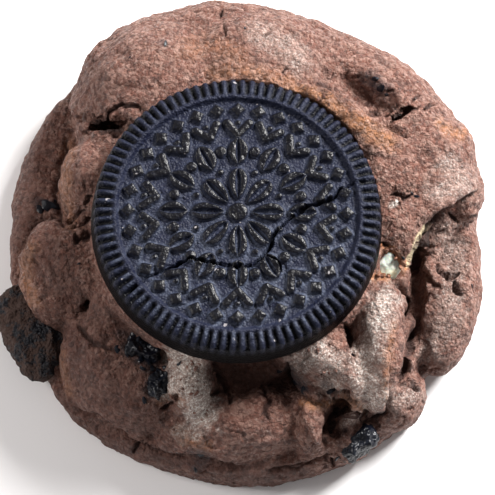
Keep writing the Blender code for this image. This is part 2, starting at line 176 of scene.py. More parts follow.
class Bench:
    """Moves made as by hand, each with nothing selected but the piece in work."""

    @staticmethod
    def clear() -> None:
        """Leave edit mode and deselect everything."""
        if bpy.context.object and bpy.context.object.mode != "OBJECT":
            bpy.ops.object.mode_set(mode="OBJECT")
        bpy.ops.object.select_all(action="DESELECT")

    @staticmethod
    def pick(thing: bpy.types.Object) -> None:
        """Select one object alone and make it the active one."""
        Bench.clear()
        thing.select_set(True)
        bpy.context.view_layer.objects.active = thing

    @staticmethod
    def join(things: Sequence[bpy.types.Object], name: str) -> bpy.types.Object:
        """Join objects into the first of them.

        Args:
            things: The objects to join.
            name: The name of the joined object.

        Returns:
            The joined object, with its place in its mesh.
        """
        Bench.pick(things[0])
        for thing in things:
            thing.select_set(True)
        bpy.ops.object.join()
        joined = bpy.context.object
        joined.name = name
        bpy.ops.object.transform_apply(location=True, rotation=True, scale=True)
        return joined

    @staticmethod
    def apply_modifiers(thing: bpy.types.Object) -> None:
        """Apply every modifier of an object, in their order."""
        Bench.pick(thing)
        for modifier in list(thing.modifiers):
            bpy.ops.object.modifier_apply(modifier=modifier.name)

    @staticmethod
    def remesh(thing: bpy.types.Object, grain: float) -> None:
        """Melt overlapping bodies into one skin with cells of one size, in millimetres."""
        remesh = thing.modifiers.new("melt", "REMESH")
        remesh.mode = "VOXEL"
        remesh.voxel_size = grain * MM
        Bench.apply_modifiers(thing)

    @staticmethod
    def soften(thing: bpy.types.Object, rounds: int) -> None:
        """Smooth a mesh a number of times."""
        soften = thing.modifiers.new("soften", "SMOOTH")
        soften.factor = 0.5
        soften.iterations = rounds
        Bench.apply_modifiers(thing)

    @staticmethod
    def cut(thing: bpy.types.Object, tool: bpy.types.Object) -> None:
        """Cut a tool out of an object and drop the tool."""
        cut = thing.modifiers.new("cut", "BOOLEAN")
        cut.operation = "DIFFERENCE"
        cut.solver = "MANIFOLD"
        cut.object = tool
        Bench.apply_modifiers(thing)
        bpy.data.objects.remove(tool, do_unlink=True)

    @staticmethod
    def points(thing: bpy.types.Object) -> np.ndarray:
        """Read a mesh's points, in millimetres."""
        flat = np.empty(len(thing.data.vertices) * 3, np.float32)
        thing.data.vertices.foreach_get("co", flat)
        return flat.reshape(-1, 3).astype(float) / MM

    @staticmethod
    def normals(thing: bpy.types.Object) -> np.ndarray:
        """Read the normals of a mesh's points."""
        flat = np.empty(len(thing.data.vertices) * 3, np.float32)
        thing.data.vertex_normals.foreach_get("vector", flat)
        return flat.reshape(-1, 3).astype(float)

    @staticmethod
    def place_points(thing: bpy.types.Object, points: np.ndarray) -> None:
        """Put a mesh's points at places in millimetres."""
        thing.data.vertices.foreach_set("co", (points * MM).astype(np.float32).ravel())
        thing.data.update()

    @staticmethod
    def paint(thing: bpy.types.Object, name: str, values: np.ndarray) -> None:
        """Keep one value for each point of a mesh under a name."""
        attribute = thing.data.attributes.new(name=name, type="FLOAT", domain="POINT")
        attribute.data.foreach_set("value", values.astype(np.float32))

    @staticmethod
    def finish(thing: bpy.types.Object, material: bpy.types.Material, slot: str,
               nodes: Sequence[str] = ()) -> None:
        """Dress a piece, fix it to the cookie and hide the CAD nodes it stands for.

        Args:
            thing: The finished piece.
            material: Its material.
            slot: Not used.
            nodes: The CAD nodes that it replaces.
        """
        thing.data.materials.clear()
        thing.data.materials.append(material)
        Bench.pick(thing)
        bpy.ops.object.shade_smooth()
        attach(thing, BODY)
        if nodes:
            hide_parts(*nodes)
        log.info("%s: %d faces", thing.name, len(thing.data.polygons))


def noise_field(points: np.ndarray, size: float, seed: float = 0.0) -> np.ndarray:
    """Give smooth noise from -1 to 1 at each point.

    Args:
        points: Places in millimetres.
        size: The size of the noise's bumps in millimetres.
        seed: A shift that gives another pattern.

    Returns:
        One value for each point.
    """
    scaled = points / size + seed
    return np.array([noise.noise(Vector(point)) for point in scaled])


class Offset(NamedTuple):
    """Where spots lie by a path: how far off, on its right (1) or left (-1), how far from its ends."""

    gap: np.ndarray
    side: np.ndarray
    from_end: np.ndarray


def path_offset(spots: np.ndarray, path: Sequence[Plan]) -> Offset:
    """Give each spot's place by a path of straight runs, or by a single point.

    Args:
        spots: The spots, one row each.
        path: The path's points, with its second axis pointing down.

    Returns:
        The spots' places by the path.
    """
    course = np.array(path, float)
    if len(course) == 1:
        gap = np.hypot(*(spots - course[0]).T)
        return Offset(gap, np.ones(len(spots)), gap)
    lengths = np.hypot(*np.diff(course, axis=0).T)
    nearest = np.full(len(spots), np.inf)
    side = np.ones(len(spots))
    place = np.zeros(len(spots))
    passed = 0.0
    for start, end, length in zip(course, course[1:], lengths):
        run = end - start
        off = spots - start
        along = np.clip(off @ run / (run @ run), 0.0, 1.0)
        gap = np.hypot(*(off - along[:, None] * run).T)
        closer = gap < nearest
        nearest[closer] = gap[closer]
        side[closer] = np.sign(run[0] * off[closer, 1] - run[1] * off[closer, 0])
        place[closer] = passed + along[closer] * length
        passed += length
    return Offset(nearest, side, np.minimum(place, passed - place))


def path_distance(spots: np.ndarray, path: Sequence[Plan]) -> np.ndarray:
    """Give each spot's distance to a path of straight runs, or to a single point."""
    return path_offset(spots, path).gap


def ease(values: np.ndarray) -> np.ndarray:
    """Ease values from 0 to 1, flat at both ends."""
    held = np.clip(values, 0.0, 1.0)
    return held * held * (3.0 - 2.0 * held)


def smooth_loop(points: Sequence[Plan], steps: int) -> list[Vector]:
    """Put a smooth closed curve through plan points.

    Args:
        points: The points, in order.
        steps: How many steps each stretch gets.

    Returns:
        The points of the curve.
    """
    curve = []
    count = len(points)
    for index in range(count):
        before, start, end, after = (Vector(points[(index + shift) % count]) for shift in (-1, 0, 1, 2))
        for step in range(steps):
            t = step / steps
            curve.append(0.5 * (2 * start + (end - before) * t
                                + (2 * before - 5 * start + 4 * end - after) * t ** 2
                                + (3 * start - before - 3 * end + after) * t ** 3))
    return curve


class Shader:
    """A material's node tree, built up one node at a time."""

    def __init__(self, tree: bpy.types.NodeTree) -> None:
        """Keep the tree that the nodes go in."""
        self.tree = tree

    def node(self, kind: str, inputs: dict[str, object] | None = None, **settings: object) -> bpy.types.Node:
        """Add a node, set it and link or fill its inputs.

        Args:
            kind: The node's type name.
            inputs: Values or output sockets for its inputs, by name or number.
            **settings: The node's own properties.

        Returns:
            The new node.
        """
        made = self.tree.nodes.new(kind)
        for name, value in settings.items():
            setattr(made, name, value)
        for key, value in (inputs or {}).items():
            socket = made.inputs[key]
            if isinstance(value, bpy.types.NodeSocket):
                self.tree.links.new(value, socket)
            else:
                socket.default_value = value
        return made

    def math(self, operation: str, first: object, second: object = 0.0,
             clamp: bool = False) -> bpy.types.NodeSocket:
        """Add a sum of two values and give its result."""
        made = self.node("ShaderNodeMath", {0: first, 1: second}, operation=operation, use_clamp=clamp)
        return made.outputs[0]

    def mix(self, amount: bpy.types.NodeSocket, first: object, second: object) -> bpy.types.NodeSocket:
        """Mix two colours, each a socket or a fixed colour, by an amount and give the result."""
        made = self.node("ShaderNodeMix", data_type="RGBA", blend_type="MIX")
        for name, value in (("Factor_Float", amount), ("A_Color", first), ("B_Color", second)):
            socket = next(item for item in made.inputs if item.identifier == name)
            if isinstance(value, bpy.types.NodeSocket):
                self.tree.links.new(value, socket)
            else:
                socket.default_value = (*value, 1.0)
        return next(item for item in made.outputs if item.identifier == "Result_Color")

    def ramp(self, value: object, stops: Sequence[tuple[float, float]]) -> bpy.types.NodeSocket:
        """Turn a value into another one along straight stops, each a place and a level."""
        made = self.node("ShaderNodeValToRGB", {0: value})
        elements = made.color_ramp.elements
        while len(elements) < len(stops):
            elements.new(0.5)
        for element, (place, level) in zip(elements, stops):
            element.position = place
            element.color = (level, level, level, 1.0)
        return made.outputs["Color"]

    def mask(self, name: str) -> bpy.types.NodeSocket:
        """Read one painted mask of the mesh."""
        return self.node("ShaderNodeAttribute", attribute_name=name).outputs["Fac"]

    def noise(self, size: float, detail: float = 2.0, roughness: float = 0.5) -> bpy.types.NodeSocket:
        """Add noise with bumps of a size in millimetres and give its value."""
        place = self.node("ShaderNodeTexCoord").outputs["Object"]
        made = self.node("ShaderNodeTexNoise", {"Vector": place, "Scale": 1.0 / (size * MM),
                                                "Detail": detail, "Roughness": roughness})
        return made.outputs["Fac"]


class SharedEffects:
    """Node groups that more than one material of the cookie uses."""

    groups: dict[str, bpy.types.NodeTree] = {}

    @classmethod
    def group(cls, name: str, inputs: dict[str, float], outputs: Sequence[str],
              fill: Callable[[Shader, bpy.types.Node, bpy.types.Node], None]) -> bpy.types.NodeTree:
        """Build a node group once.

        Args:
            name: The group's name.
            inputs: Its value inputs and their defaults.
            outputs: Its value outputs.
            fill: Puts the nodes between the group's input and output.

        Returns:
            The group.
        """
        if name not in cls.groups:
            tree = bpy.data.node_groups.new(name, "ShaderNodeTree")
            for label, value in inputs.items():
                socket = tree.interface.new_socket(name=label, in_out="INPUT", socket_type="NodeSocketFloat")
                socket.default_value = value
            for label in outputs:
                tree.interface.new_socket(name=label, in_out="OUTPUT", socket_type="NodeSocketFloat")
            source = tree.nodes.new("NodeGroupInput")
            result = tree.nodes.new("NodeGroupOutput")
            fill(Shader(tree), source, result)
            cls.groups[name] = tree
        return cls.groups[name]

    @classmethod
    def crumb(cls) -> bpy.types.NodeTree:
        """Give the group of baked crumb: its height, pale specks, pores and each grain's own tone."""

        def fill(shader: Shader, source: bpy.types.Node, result: bpy.types.Node) -> None:
            """Join fine noise, grains, pores and tones."""
            place = shader.node("ShaderNodeTexCoord").outputs["Object"]
            scale = shader.math("DIVIDE", 1.0 / MM, source.outputs["Grain mm"])
            fine = shader.node("ShaderNodeTexNoise", {"Vector": place, "Scale": scale, "Detail": 3.0,
                                                      "Roughness": 0.62}).outputs["Fac"]
            cells = shader.node("ShaderNodeTexVoronoi", {"Vector": place, "Scale": scale}, feature="F1")
            wide = shader.math("MULTIPLY", scale, 0.31)
            coarse = shader.node("ShaderNodeTexNoise", {"Vector": place, "Scale": wide, "Detail": 2.0,
                                                        "Roughness": 0.5}).outputs["Fac"]
            grains = shader.math("SUBTRACT", shader.math("MULTIPLY", fine, 0.65),
                                 shader.math("MULTIPLY", cells.outputs["Distance"], 0.55))
            height = shader.math("ADD", grains, shader.math("MULTIPLY", coarse, source.outputs["Coarse"]))
            shader.tree.links.new(height, result.inputs["Height"])
            specks = shader.node("ShaderNodeMapRange", {"Value": fine, "From Min": 0.5, "From Max": 0.72})
            shader.tree.links.new(specks.outputs[0], result.inputs["Specks"])
            pores = shader.node("ShaderNodeMapRange", {"Value": coarse, "From Min": 0.42, "From Max": 0.3})
            shader.tree.links.new(pores.outputs[0], result.inputs["Pores"])
            tone = shader.node("ShaderNodeSeparateColor", {"Color": cells.outputs["Color"]})
            shader.tree.links.new(tone.outputs[0], result.inputs["Tone"])

        outputs = ("Height", "Specks", "Pores", "Tone")
        return cls.group("baked_crumb", {"Grain mm": 0.45, "Coarse": 0.8}, outputs, fill)


class Finish:
    """What every finish shares: a Principled material whose looks come from its nodes."""

    name = "finish"

    def start(self) -> tuple[bpy.types.Material, Shader, bpy.types.Node]:
        """Make the empty material, and give it with its tree and its Principled node."""
        material = bpy.data.materials.new(self.name)
        material.use_nodes = True
        principled = material.node_tree.nodes["Principled BSDF"]
        return material, Shader(material.node_tree), principled

    @staticmethod
    def crumb(shader: Shader, grain: float, coarse: float) -> bpy.types.Node:
        """Place the shared crumb effect with its own sizes."""
        group = shader.node("ShaderNodeGroup", node_tree=SharedEffects.crumb())
        group.inputs["Grain mm"].default_value = grain
        group.inputs["Coarse"].default_value = coarse
        return group

    @staticmethod
    def bump(shader: Shader, principled: bpy.types.Node, height: object, depth: float) -> None:
        """Raise the surface by a height, whose full range is a depth in millimetres."""
        bump = shader.node("ShaderNodeBump", {"Height": height, "Distance": depth * MM, "Strength": 1.0})
        shader.tree.links.new(bump.outputs[0], principled.inputs["Normal"])


@dataclass(frozen=True)
class DoughFinish(Finish):
    """Baked chocolate dough, matt and reddish brown, with a pale grain, painted glints and painted shade."""

    name: str = "baked_dough"
    # Deep brown of the grain's gaps and pores, and the painted shade in creases
    deep_and_crease_shade: Colour = (0.040, 0.015, 0.011)
    plain: Colour = (0.175, 0.073, 0.050)
    ruddy: Colour = (0.155, 0.054, 0.034)
    stain: Colour = (0.085, 0.032, 0.024)
    # Pale specks: the crumb's pale grains, with painted glints on them
    light: Colour = (0.42, 0.27, 0.22)
    # Toasted orange, also painted highlight on the left rims
    toast_and_highlight: Colour = (0.42, 0.18, 0.075)
    # Pale crumb, which on the lit lobes is also painted light
    pale_and_lit: Colour = (0.50, 0.41, 0.36)
    # Painted glints on the pale and lit places
    painted_glint: Colour = (0.82, 0.77, 0.72)
    # Darker dough, and painted shade under the wafer, in hollows and in holes
    dark_and_shade: Colour = (0.032, 0.013, 0.010)
    smudge: Colour = (0.022, 0.022, 0.032)
    cream: Colour = (0.72, 0.60, 0.38)
    grain: float = 0.64
    bump_depth: float = 0.65

    def build(self) -> bpy.types.Material:
        """Build the material.

        Returns:
            The material.
        """
        material, shader, principled = self.start()
        crumb = self.crumb(shader, self.grain, 0.9)
        broad = shader.ramp(shader.noise(4.5, 4.0, 0.6), ((0.38, 0.0), (0.62, 1.0)))
        colour = shader.mix(broad, self.plain, self.ruddy)
        stains = shader.ramp(shader.noise(2.2, 6.0, 0.75), ((0.36, 0.75), (0.5, 0.0)))
        colour = shader.mix(stains, colour, self.stain)
        # Toasted places, on the left rims also painted highlight
        colour = shader.mix(shader.math("MULTIPLY", shader.mask("toast_and_highlight"), 0.9), colour, self.toast_and_highlight)
        calm = shader.math("SUBTRACT", 0.9, shader.math("MULTIPLY", shader.mask("dark_and_shade"), 1.1), clamp=True)
        # Pale grains and specks, partly painted glints, fewer where the dough is dark and shaded
        grains = shader.ramp(crumb.outputs["Tone"], ((0.5, 0.0), (1.0, 0.6)))
        speckle = shader.math("MAXIMUM", grains, shader.math("MULTIPLY", crumb.outputs["Specks"], 0.75))
        colour = shader.mix(shader.math("MULTIPLY", speckle, calm), colour, self.light)
        shade = shader.ramp(crumb.outputs["Tone"], ((0.0, 0.5), (0.4, 0.0)))
        colour = shader.mix(shade, colour, self.deep_and_crease_shade)
        gaps = shader.ramp(shader.noise(0.55, 3.0, 0.6), ((0.34, 1.0), (0.46, 0.0)))
        colour = shader.mix(shader.math("MULTIPLY", gaps, 0.45), colour, self.deep_and_crease_shade)
        colour = shader.mix(shader.math("MULTIPLY", crumb.outputs["Pores"], 0.45), colour, self.deep_and_crease_shade)
        # Pale crumb and painted light, broken into patches
        flour_and_light = shader.ramp(shader.noise(1.1, 5.0, 0.8), ((0.34, 0.35), (0.58, 1.0)))
        colour = shader.mix(shader.math("MULTIPLY", shader.mask("pale_and_lit"), flour_and_light), colour, self.pale_and_lit)
        # Painted glints
        painted_glint = shader.ramp(shader.noise(0.36, 2.0, 0.6), ((0.50, 0.0), (0.62, 1.0)))
        colour = shader.mix(shader.math("MULTIPLY", shader.mask("pale_and_lit"), painted_glint), colour, self.painted_glint)
        blots = shader.ramp(shader.noise(1.0, 5.0, 0.75), ((0.38, 0.25), (0.56, 1.0)))
        colour = shader.mix(shader.math("MULTIPLY", shader.mask("smudge"), blots), colour, self.smudge)
        colour = shader.mix(shader.mask("cream"), colour, self.cream)
        # Painted shade in the creases
        colour = shader.mix(shader.math("MULTIPLY", shader.mask("crease_shade"), 0.8), colour, self.deep_and_crease_shade)
        # Darker dough and painted shade
        colour = shader.mix(shader.math("MULTIPLY", shader.mask("dark_and_shade"), 0.9), colour, self.dark_and_shade)
        shader.tree.links.new(colour, principled.inputs["Base Color"])
        rough = shader.ramp(crumb.outputs["Specks"], ((0.0, 0.75), (1.0, 0.38)))
        shader.tree.links.new(rough, principled.inputs["Roughness"])
        principled.inputs["Specular IOR Level"].default_value = 0.5
        wrinkles = shader.ramp(shader.noise(1.7, 5.0, 0.7), ((0.3, 0.0), (0.7, 1.0)))
        height = shader.math("ADD", crumb.outputs["Height"], shader.math("MULTIPLY", wrinkles, 1.3))
        self.bump(shader, principled, height, self.bump_depth)
        return material


@dataclass(frozen=True)
class WaferFinish(Finish):
    """Black cocoa biscuit: slate-blue field, darker figures, painted sheen at their feet, painted shade in
    grooves and wall.
    """

    name: str = "wafer_biscuit"
    floor: Colour = (0.0065, 0.0082, 0.0200)
    worn: Colour = (0.016, 0.019, 0.036)
    figure: Colour = (0.0030, 0.0030, 0.0046)
    # Painted sheen: pale blue shine round the figures' feet and on the rim's ridges
    painted_sheen: Colour = (0.070, 0.083, 0.120)
    # Painted shade: the side wall darker than the top
    wall: Colour = (0.0022, 0.0014, 0.0018)
    # Painted shade in the rim's grooves
    deep_and_crease_shade: Colour = (0.0012, 0.0012, 0.0018)
    dust: Colour = (0.35, 0.33, 0.34)
    roughness: float = 0.45
    grain: float = 0.4
    bump_depth: float = 0.26

    def build(self) -> bpy.types.Material:
        """Build the material.

        Returns:
            The material.
        """
        material, shader, principled = self.start()
        crumb = self.crumb(shader, self.grain, 0.6)
        patch = shader.ramp(shader.noise(2.6, 5.0, 0.65), ((0.38, 0.0), (0.64, 1.0)))
        colour = shader.mix(patch, self.floor, self.worn)
        colour = shader.mix(shader.mask("raised"), colour, self.figure)
        # Painted sheen
        painted_sheen = shader.math("MULTIPLY", shader.mask("painted_sheen"), shader.ramp(shader.noise(1.6, 4.0, 0.7),
                                                                         ((0.38, 0.0), (0.62, 1.0))))
        colour = shader.mix(painted_sheen, colour, self.painted_sheen)
        colour = shader.mix(shader.math("MULTIPLY", crumb.outputs["Specks"], 0.3), colour, self.worn)
        # Painted shade in the rim's grooves
        colour = shader.mix(shader.mask("crease_shade"), colour, self.deep_and_crease_shade)
        # Painted shade on the side wall
        colour = shader.mix(shader.mask("wall"), colour, self.wall)
        dust = shader.ramp(shader.noise(0.9, 0.0), ((0.83, 0.0), (0.86, 1.0)))
        colour = shader.mix(shader.math("MULTIPLY", dust, 0.7), colour, self.dust)
        shader.tree.links.new(colour, principled.inputs["Base Color"])
        level = shader.math("SUBTRACT", self.roughness, shader.math("MULTIPLY", shader.mask("raised"), 0.1))
        rough = shader.math("SUBTRACT", level, shader.math("MULTIPLY", crumb.outputs["Specks"], 0.15))
        shader.tree.links.new(rough, principled.inputs["Roughness"])
        shine = shader.math("ADD", 0.12, shader.math("MULTIPLY", shader.mask("raised"), 0.1))
        dull = shader.math("SUBTRACT", 1.0, shader.math("MULTIPLY", shader.mask("wall"), 0.7))
        shader.tree.links.new(shader.math("MULTIPLY", shine, dull), principled.inputs["Specular IOR Level"])
        calm = shader.math("SUBTRACT", 1.0, shader.math("MULTIPLY", shader.mask("raised"), 0.6))
        self.bump(shader, principled, shader.math("MULTIPLY", crumb.outputs["Height"], calm), self.bump_depth)
        return material


@dataclass(frozen=True)
class BiscuitFinish(Finish):
    """Broken dark biscuit, blue-black where it is clean and brown where dough clings to it."""

    name: str = "broken_biscuit"
    base: Colour = (0.0025, 0.0035, 0.0075)
    bloom: Colour = (0.030, 0.026, 0.027)
    dough: Colour = (0.050, 0.029, 0.023)
    dough_share: float = 0.55
    roughness: float = 0.5
    grain: float = 0.5
    bump_depth: float = 0.3

    def build(self) -> bpy.types.Material:
        """Build the material.

        Returns:
            The material.
        """
        material, shader, principled = self.start()
        crumb = self.crumb(shader, self.grain, 0.8)
        colour = shader.mix(shader.math("MULTIPLY", crumb.outputs["Specks"], 0.6), self.base, self.bloom)
        edge = 0.75 - 0.5 * self.dough_share
        cling = shader.ramp(shader.noise(3.8, 6.0, 0.7), ((edge - 0.03, 0.0), (edge + 0.03, 1.0)))
        colour = shader.mix(cling, colour, self.dough)
        shader.tree.links.new(colour, principled.inputs["Base Color"])
        rough = shader.ramp(cling, ((0.0, self.roughness), (1.0, 0.85)))
        shader.tree.links.new(rough, principled.inputs["Roughness"])
        principled.inputs["Specular IOR Level"].default_value = 0.3
        self.bump(shader, principled, crumb.outputs["Height"], self.bump_depth)
        return material


@dataclass(frozen=True)
class FillingFinish(Finish):
    """White filling: creamy, soft and slightly glossy, with a few crumbs stuck to it."""

    name: str = "white_filling"
    cream: Colour = (0.56, 0.62, 0.56)
    butter: Colour = (0.62, 0.54, 0.30)
    crumb_colour: Colour = (0.20, 0.10, 0.05)
    roughness: float = 0.42

    def build(self) -> bpy.types.Material:
        """Build the material.

        Returns:
            The material.
        """
        material, shader, principled = self.start()
        tone = shader.ramp(shader.noise(4.0, 2.0), ((0.45, 0.0), (0.7, 1.0)))
        colour = shader.mix(tone, self.cream, self.butter)
        stuck = shader.ramp(shader.noise(0.8, 2.0), ((0.74, 0.0), (0.78, 1.0)))
        colour = shader.mix(stuck, colour, self.crumb_colour)
        shader.tree.links.new(colour, principled.inputs["Base Color"])
        rough = shader.ramp(tone, ((0.0, self.roughness), (1.0, self.roughness + 0.2)))
        shader.tree.links.new(rough, principled.inputs["Roughness"])
        principled.inputs["Subsurface Weight"].default_value = 0.25
        principled.inputs["Subsurface Scale"].default_value = 0.5 * MM
        self.bump(shader, principled, shader.noise(1.1, 4.0), 0.2)
        return material


@dataclass
class Wafer:
    """The round wafer: a reeded rim, an embossed field and the crack across it."""

    centre: tuple[float, float, float] = (-1.0, 1.4, 27.0)
    radius: float = 23.1
    foot_flare: float = 0.9
    thickness: float = 6.4
    lean_right: float = 2.4
    lean_back: float = 1.2
    ridges: int = 90
    rim_width: float = 3.1
    rim_drop: float = 0.4
    edge_drop: float = 0.3
    edge_width: float = 0.7
    ridge_depth: float = 0.75
    wall_groove_share: float = 0.9
    wall_groove_fade: float = 3.6
    wall_steps: int = 14
    pit_depth: float = 0.22
    field_depth: float = 0.9
    relief: float = 0.8
    relief_edge: float = 0.4
    steps_per_ridge: int = 7
    ring_step: float = 0.215
    crack: Sequence[Plan] = ((-17.4, -13.8), (-14.5, -11.1), (-10.9, -9.6), (-7.7, -8.0), (-4.8, -8.5),
                             (0.1, -9.2), (2.5, -8.9), (4.0, -7.5), (5.3, -5.7), (5.7, -3.8), (8.2, -1.3),
                             (9.8, -0.3), (11.2, 1.1), (14.1, 1.8), (15.4, 2.5), (16.7, 4.1), (19.1, 5.2),
                             (20.6, 5.6))
    crack_branch: Sequence[Plan] = ((4.6, -7.3), (6.5, -8.2), (7.0, -9.8))
    crack_half_width: float = 0.36
    crack_narrowest: float = 0.14
    crack_depth: float = 2.2
    crack_wander: float = 0.16
    crack_lift: float = 0.10
    crack_lift_reach: float = 2.2

    def place(self) -> Matrix:
        """Give the wafer's place and lean, in millimetres."""
        lean_right = Matrix.Rotation(math.radians(self.lean_right), 4, "Y")
        lean_back = Matrix.Rotation(math.radians(-self.lean_back), 4, "X")
        return Matrix.Translation(self.centre) @ lean_back @ lean_right

    def profile(self) -> list[Plan]:
        """Give the turned profile from the middle of the top, over the rim and under to the middle."""
        count = round(self.radius / self.ring_step)
        top = [(self.radius * index / count, 0.0) for index in range(count + 1)]
        foot = self.radius + self.foot_flare
        wall_low = -self.thickness + 0.6
        wall = []
        for index in range(1, self.wall_steps + 1):
            share = index / self.wall_steps
            wall.append((self.radius + 0.1 + (self.foot_flare - 0.1) * share, wall_low * share))
        under = [(foot - 0.2, -self.thickness + 0.2), (foot - 0.7, -self.thickness), (0.0, -self.thickness)]
        return top + wall + under

    def figures(self, radius: np.ndarray, angle: np.ndarray) -> tuple[np.ndarray, np.ndarray]:
        """Give the embossed figures' height over the field, and how far in them each point lies.

        Args:
            radius: Each point's distance from the middle.
            angle: Each point's direction.

        Returns:
            The height of each point as a share of the relief, and its depth inside a figure in
            millimetres, negative outside.
        """
        height = np.zeros(len(radius))
        within = np.full(len(radius), -9.0)

        def ring(count: int, at: float, offset: float, distance: Callable, top: float = 1.0) -> None:
            """Raise one figure at even steps round a ring."""
            step = math.tau / count
            local = (angle - offset * step + step / 2) % step - step / 2
            out = radius * np.cos(local) - at
            side = radius * np.sin(local)
            inside = -distance(out, side)
            np.maximum(within, inside, out=within)
            dome = 0.86 + 0.14 * ease(inside / (2.2 * self.relief_edge))
            raised = top * dome * ease((inside + 0.5 * self.relief_edge) / self.relief_edge)
            np.maximum(height, raised, out=height)

        def egg(out: np.ndarray, side: np.ndarray) -> np.ndarray:
            """Give the distance to a petal, wider at its outer end, with a vein along it."""
            wide = 1.5 * (1.0 + 0.12 * out)
            edge = (np.sqrt((out / 2.65) ** 2 + (side / np.maximum(wide, 0.4)) ** 2) - 1.0) * 1.5
            vein = 0.36 - np.abs(side) - 0.25 * np.maximum(np.abs(out) - 1.1, 0.0)
            return np.maximum(edge, vein)

        def pointed(out: np.ndarray, side: np.ndarray) -> np.ndarray:
            """Give the distance to a leaf with a point at both ends, with a vein along it."""
            length, half = 2.4, 1.7
            bend = (length ** 2 + half ** 2) / (2 * half)
            edge = np.hypot(out, np.abs(side) + bend - half) - bend
            vein = 0.3 - np.abs(side) - 0.25 * np.maximum(np.abs(out) - 0.9, 0.0)
            return np.maximum(edge, vein)

        def chevron(out: np.ndarray, side: np.ndarray) -> np.ndarray:
            """Give the distance to a V of two bars."""
            spots = np.stack((out, np.abs(side)), axis=1)
            return path_distance(spots, ((-0.95, 0.05), (1.0, 1.85))) - 0.72

        def lozenge(out: np.ndarray, side: np.ndarray) -> np.ndarray:
            """Give the distance to a lozenge."""
            return (np.abs(out) / 1.35 + np.abs(side) / 1.35 - 1.0) * 0.95

        def bead(size: float) -> Callable:
            """Give the distance function of a round bead of a size."""
            return lambda out, side: np.hypot(out, side) - size

        ring(1, 0.0, 0.0, bead(1.6))
        ring(8, 4.9, 0.0, egg)
        ring(8, 7.3, 0.5, bead(0.55), 0.8)
        ring(12, 10.5, 0.0, pointed)
        ring(12, 10.7, 0.5, bead(0.95))
        ring(18, 14.4, 0.5, chevron)
        ring(18, 15.45, 0.5, bead(0.5), 0.8)
        ring(32, 17.75, 0.0, lozenge)
        return height, within

    def grooves(self, angle: np.ndarray) -> np.ndarray:
        """Give the rim's grooves, 1 in their middle and 0 on the ridges between them."""
        wave = 0.5 - 0.5 * np.cos(self.ridges * angle)
        return ease(wave * 1.3 - 0.2)

    def shape(self, points: np.ndarray) -> np.ndarray:
        """Press the rim's ridges, the figures and the crack into the turned body.

        Args:
            points: The turned body's points, its top at Z zero.

        Returns:
            The shaped points.
        """
        radius = np.hypot(points[:, 0], points[:, 1])
        angle = np.arctan2(points[:, 1], points[:, 0])
        top = points[:, 2] > -0.001
        inner = self.radius - self.rim_width
        outward = np.clip((radius - inner) / self.rim_width, 0.0, 1.0)
        drift = 0.006 * noise_field(points, 3.0, 21.0)
        groove = self.grooves(angle + drift) * (0.9 + 0.35 * noise_field(points, 2.1, 17.0))
        fade = ease((radius - inner - 0.3 * noise_field(points, 1.1, 19.0)) / 1.0)
        rim = -self.rim_drop * outward ** 2 - self.ridge_depth * groove * fade
        rim -= self.edge_drop * ease((radius - self.radius + self.edge_width) / self.edge_width)
        embossed = self.figures(radius, angle)[0] * self.relief - self.field_depth
        lies_in_field = 1.0 - ease((radius - inner + 0.75) / 0.7)
        height = rim * (1.0 - lies_in_field) + embossed * lies_in_field
        uneven = 0.09 * noise_field(points, 2.3) + 0.09 * noise_field(points, 0.8, 4.0)
        pits = ease(2.6 * noise_field(points, 0.9, 14.0) - 0.9)
        uneven -= self.pit_depth * pits
        shaped = points.copy()
        shaped[top, 2] += (height + uneven)[top]

        wall = ~top & (points[:, 2] > -self.thickness + 0.1)
        fade_down = 1.0 - ease(-points[:, 2] / self.wall_groove_fade)
        inward = self.ridge_depth * self.wall_groove_share * groove * fade_down
        shift = (-inward + 0.06 * noise_field(points, 1.6, 2.0)) / np.maximum(radius, 1.0)
        shaped[wall, 0] += (points[:, 0] * shift)[wall]
        shaped[wall, 1] += (points[:, 1] * shift)[wall]
        shaped[wall, 2] -= (self.rim_drop + self.edge_drop) * fade_down[wall]

        drifts = (noise_field(points, 0.9, 7.0), noise_field(points, 0.9, 9.0))
        spots = points[:, :2] + self.crack_wander * np.stack(drifts, 1)
        for path, widest in ((self.crack, 1.0), (self.crack_branch, 0.7)):
            gap = path_distance(spots, path)
            middle = np.array(path[len(path) // 2])
            ends = np.hypot(*(points[:, :2] - middle).T) / np.hypot(*(np.array(path[0]) - middle))
            uneven_width = 0.75 + 0.9 * noise_field(points, 4.2, 31.0) + 0.4 * noise_field(points, 1.1, 33.0)
            half = self.crack_half_width * widest * (0.35 + 0.65 * ease(1.15 - ends)) * uneven_width
            half = np.maximum(half, self.crack_narrowest)
            open_share = np.clip(1.0 - gap / half, 0.0, 1.0) ** 0.45
            depth = self.crack_depth * widest * (0.4 + 0.6 * ease(1.3 - ends))
            shaped[top, 2] -= (depth * open_share)[top]
            lift = self.crack_lift * ease(1.0 - gap / self.crack_lift_reach) * np.sign(points[:, 1] + 9.0)
            shaped[top, 2] += lift[top]
        return shaped

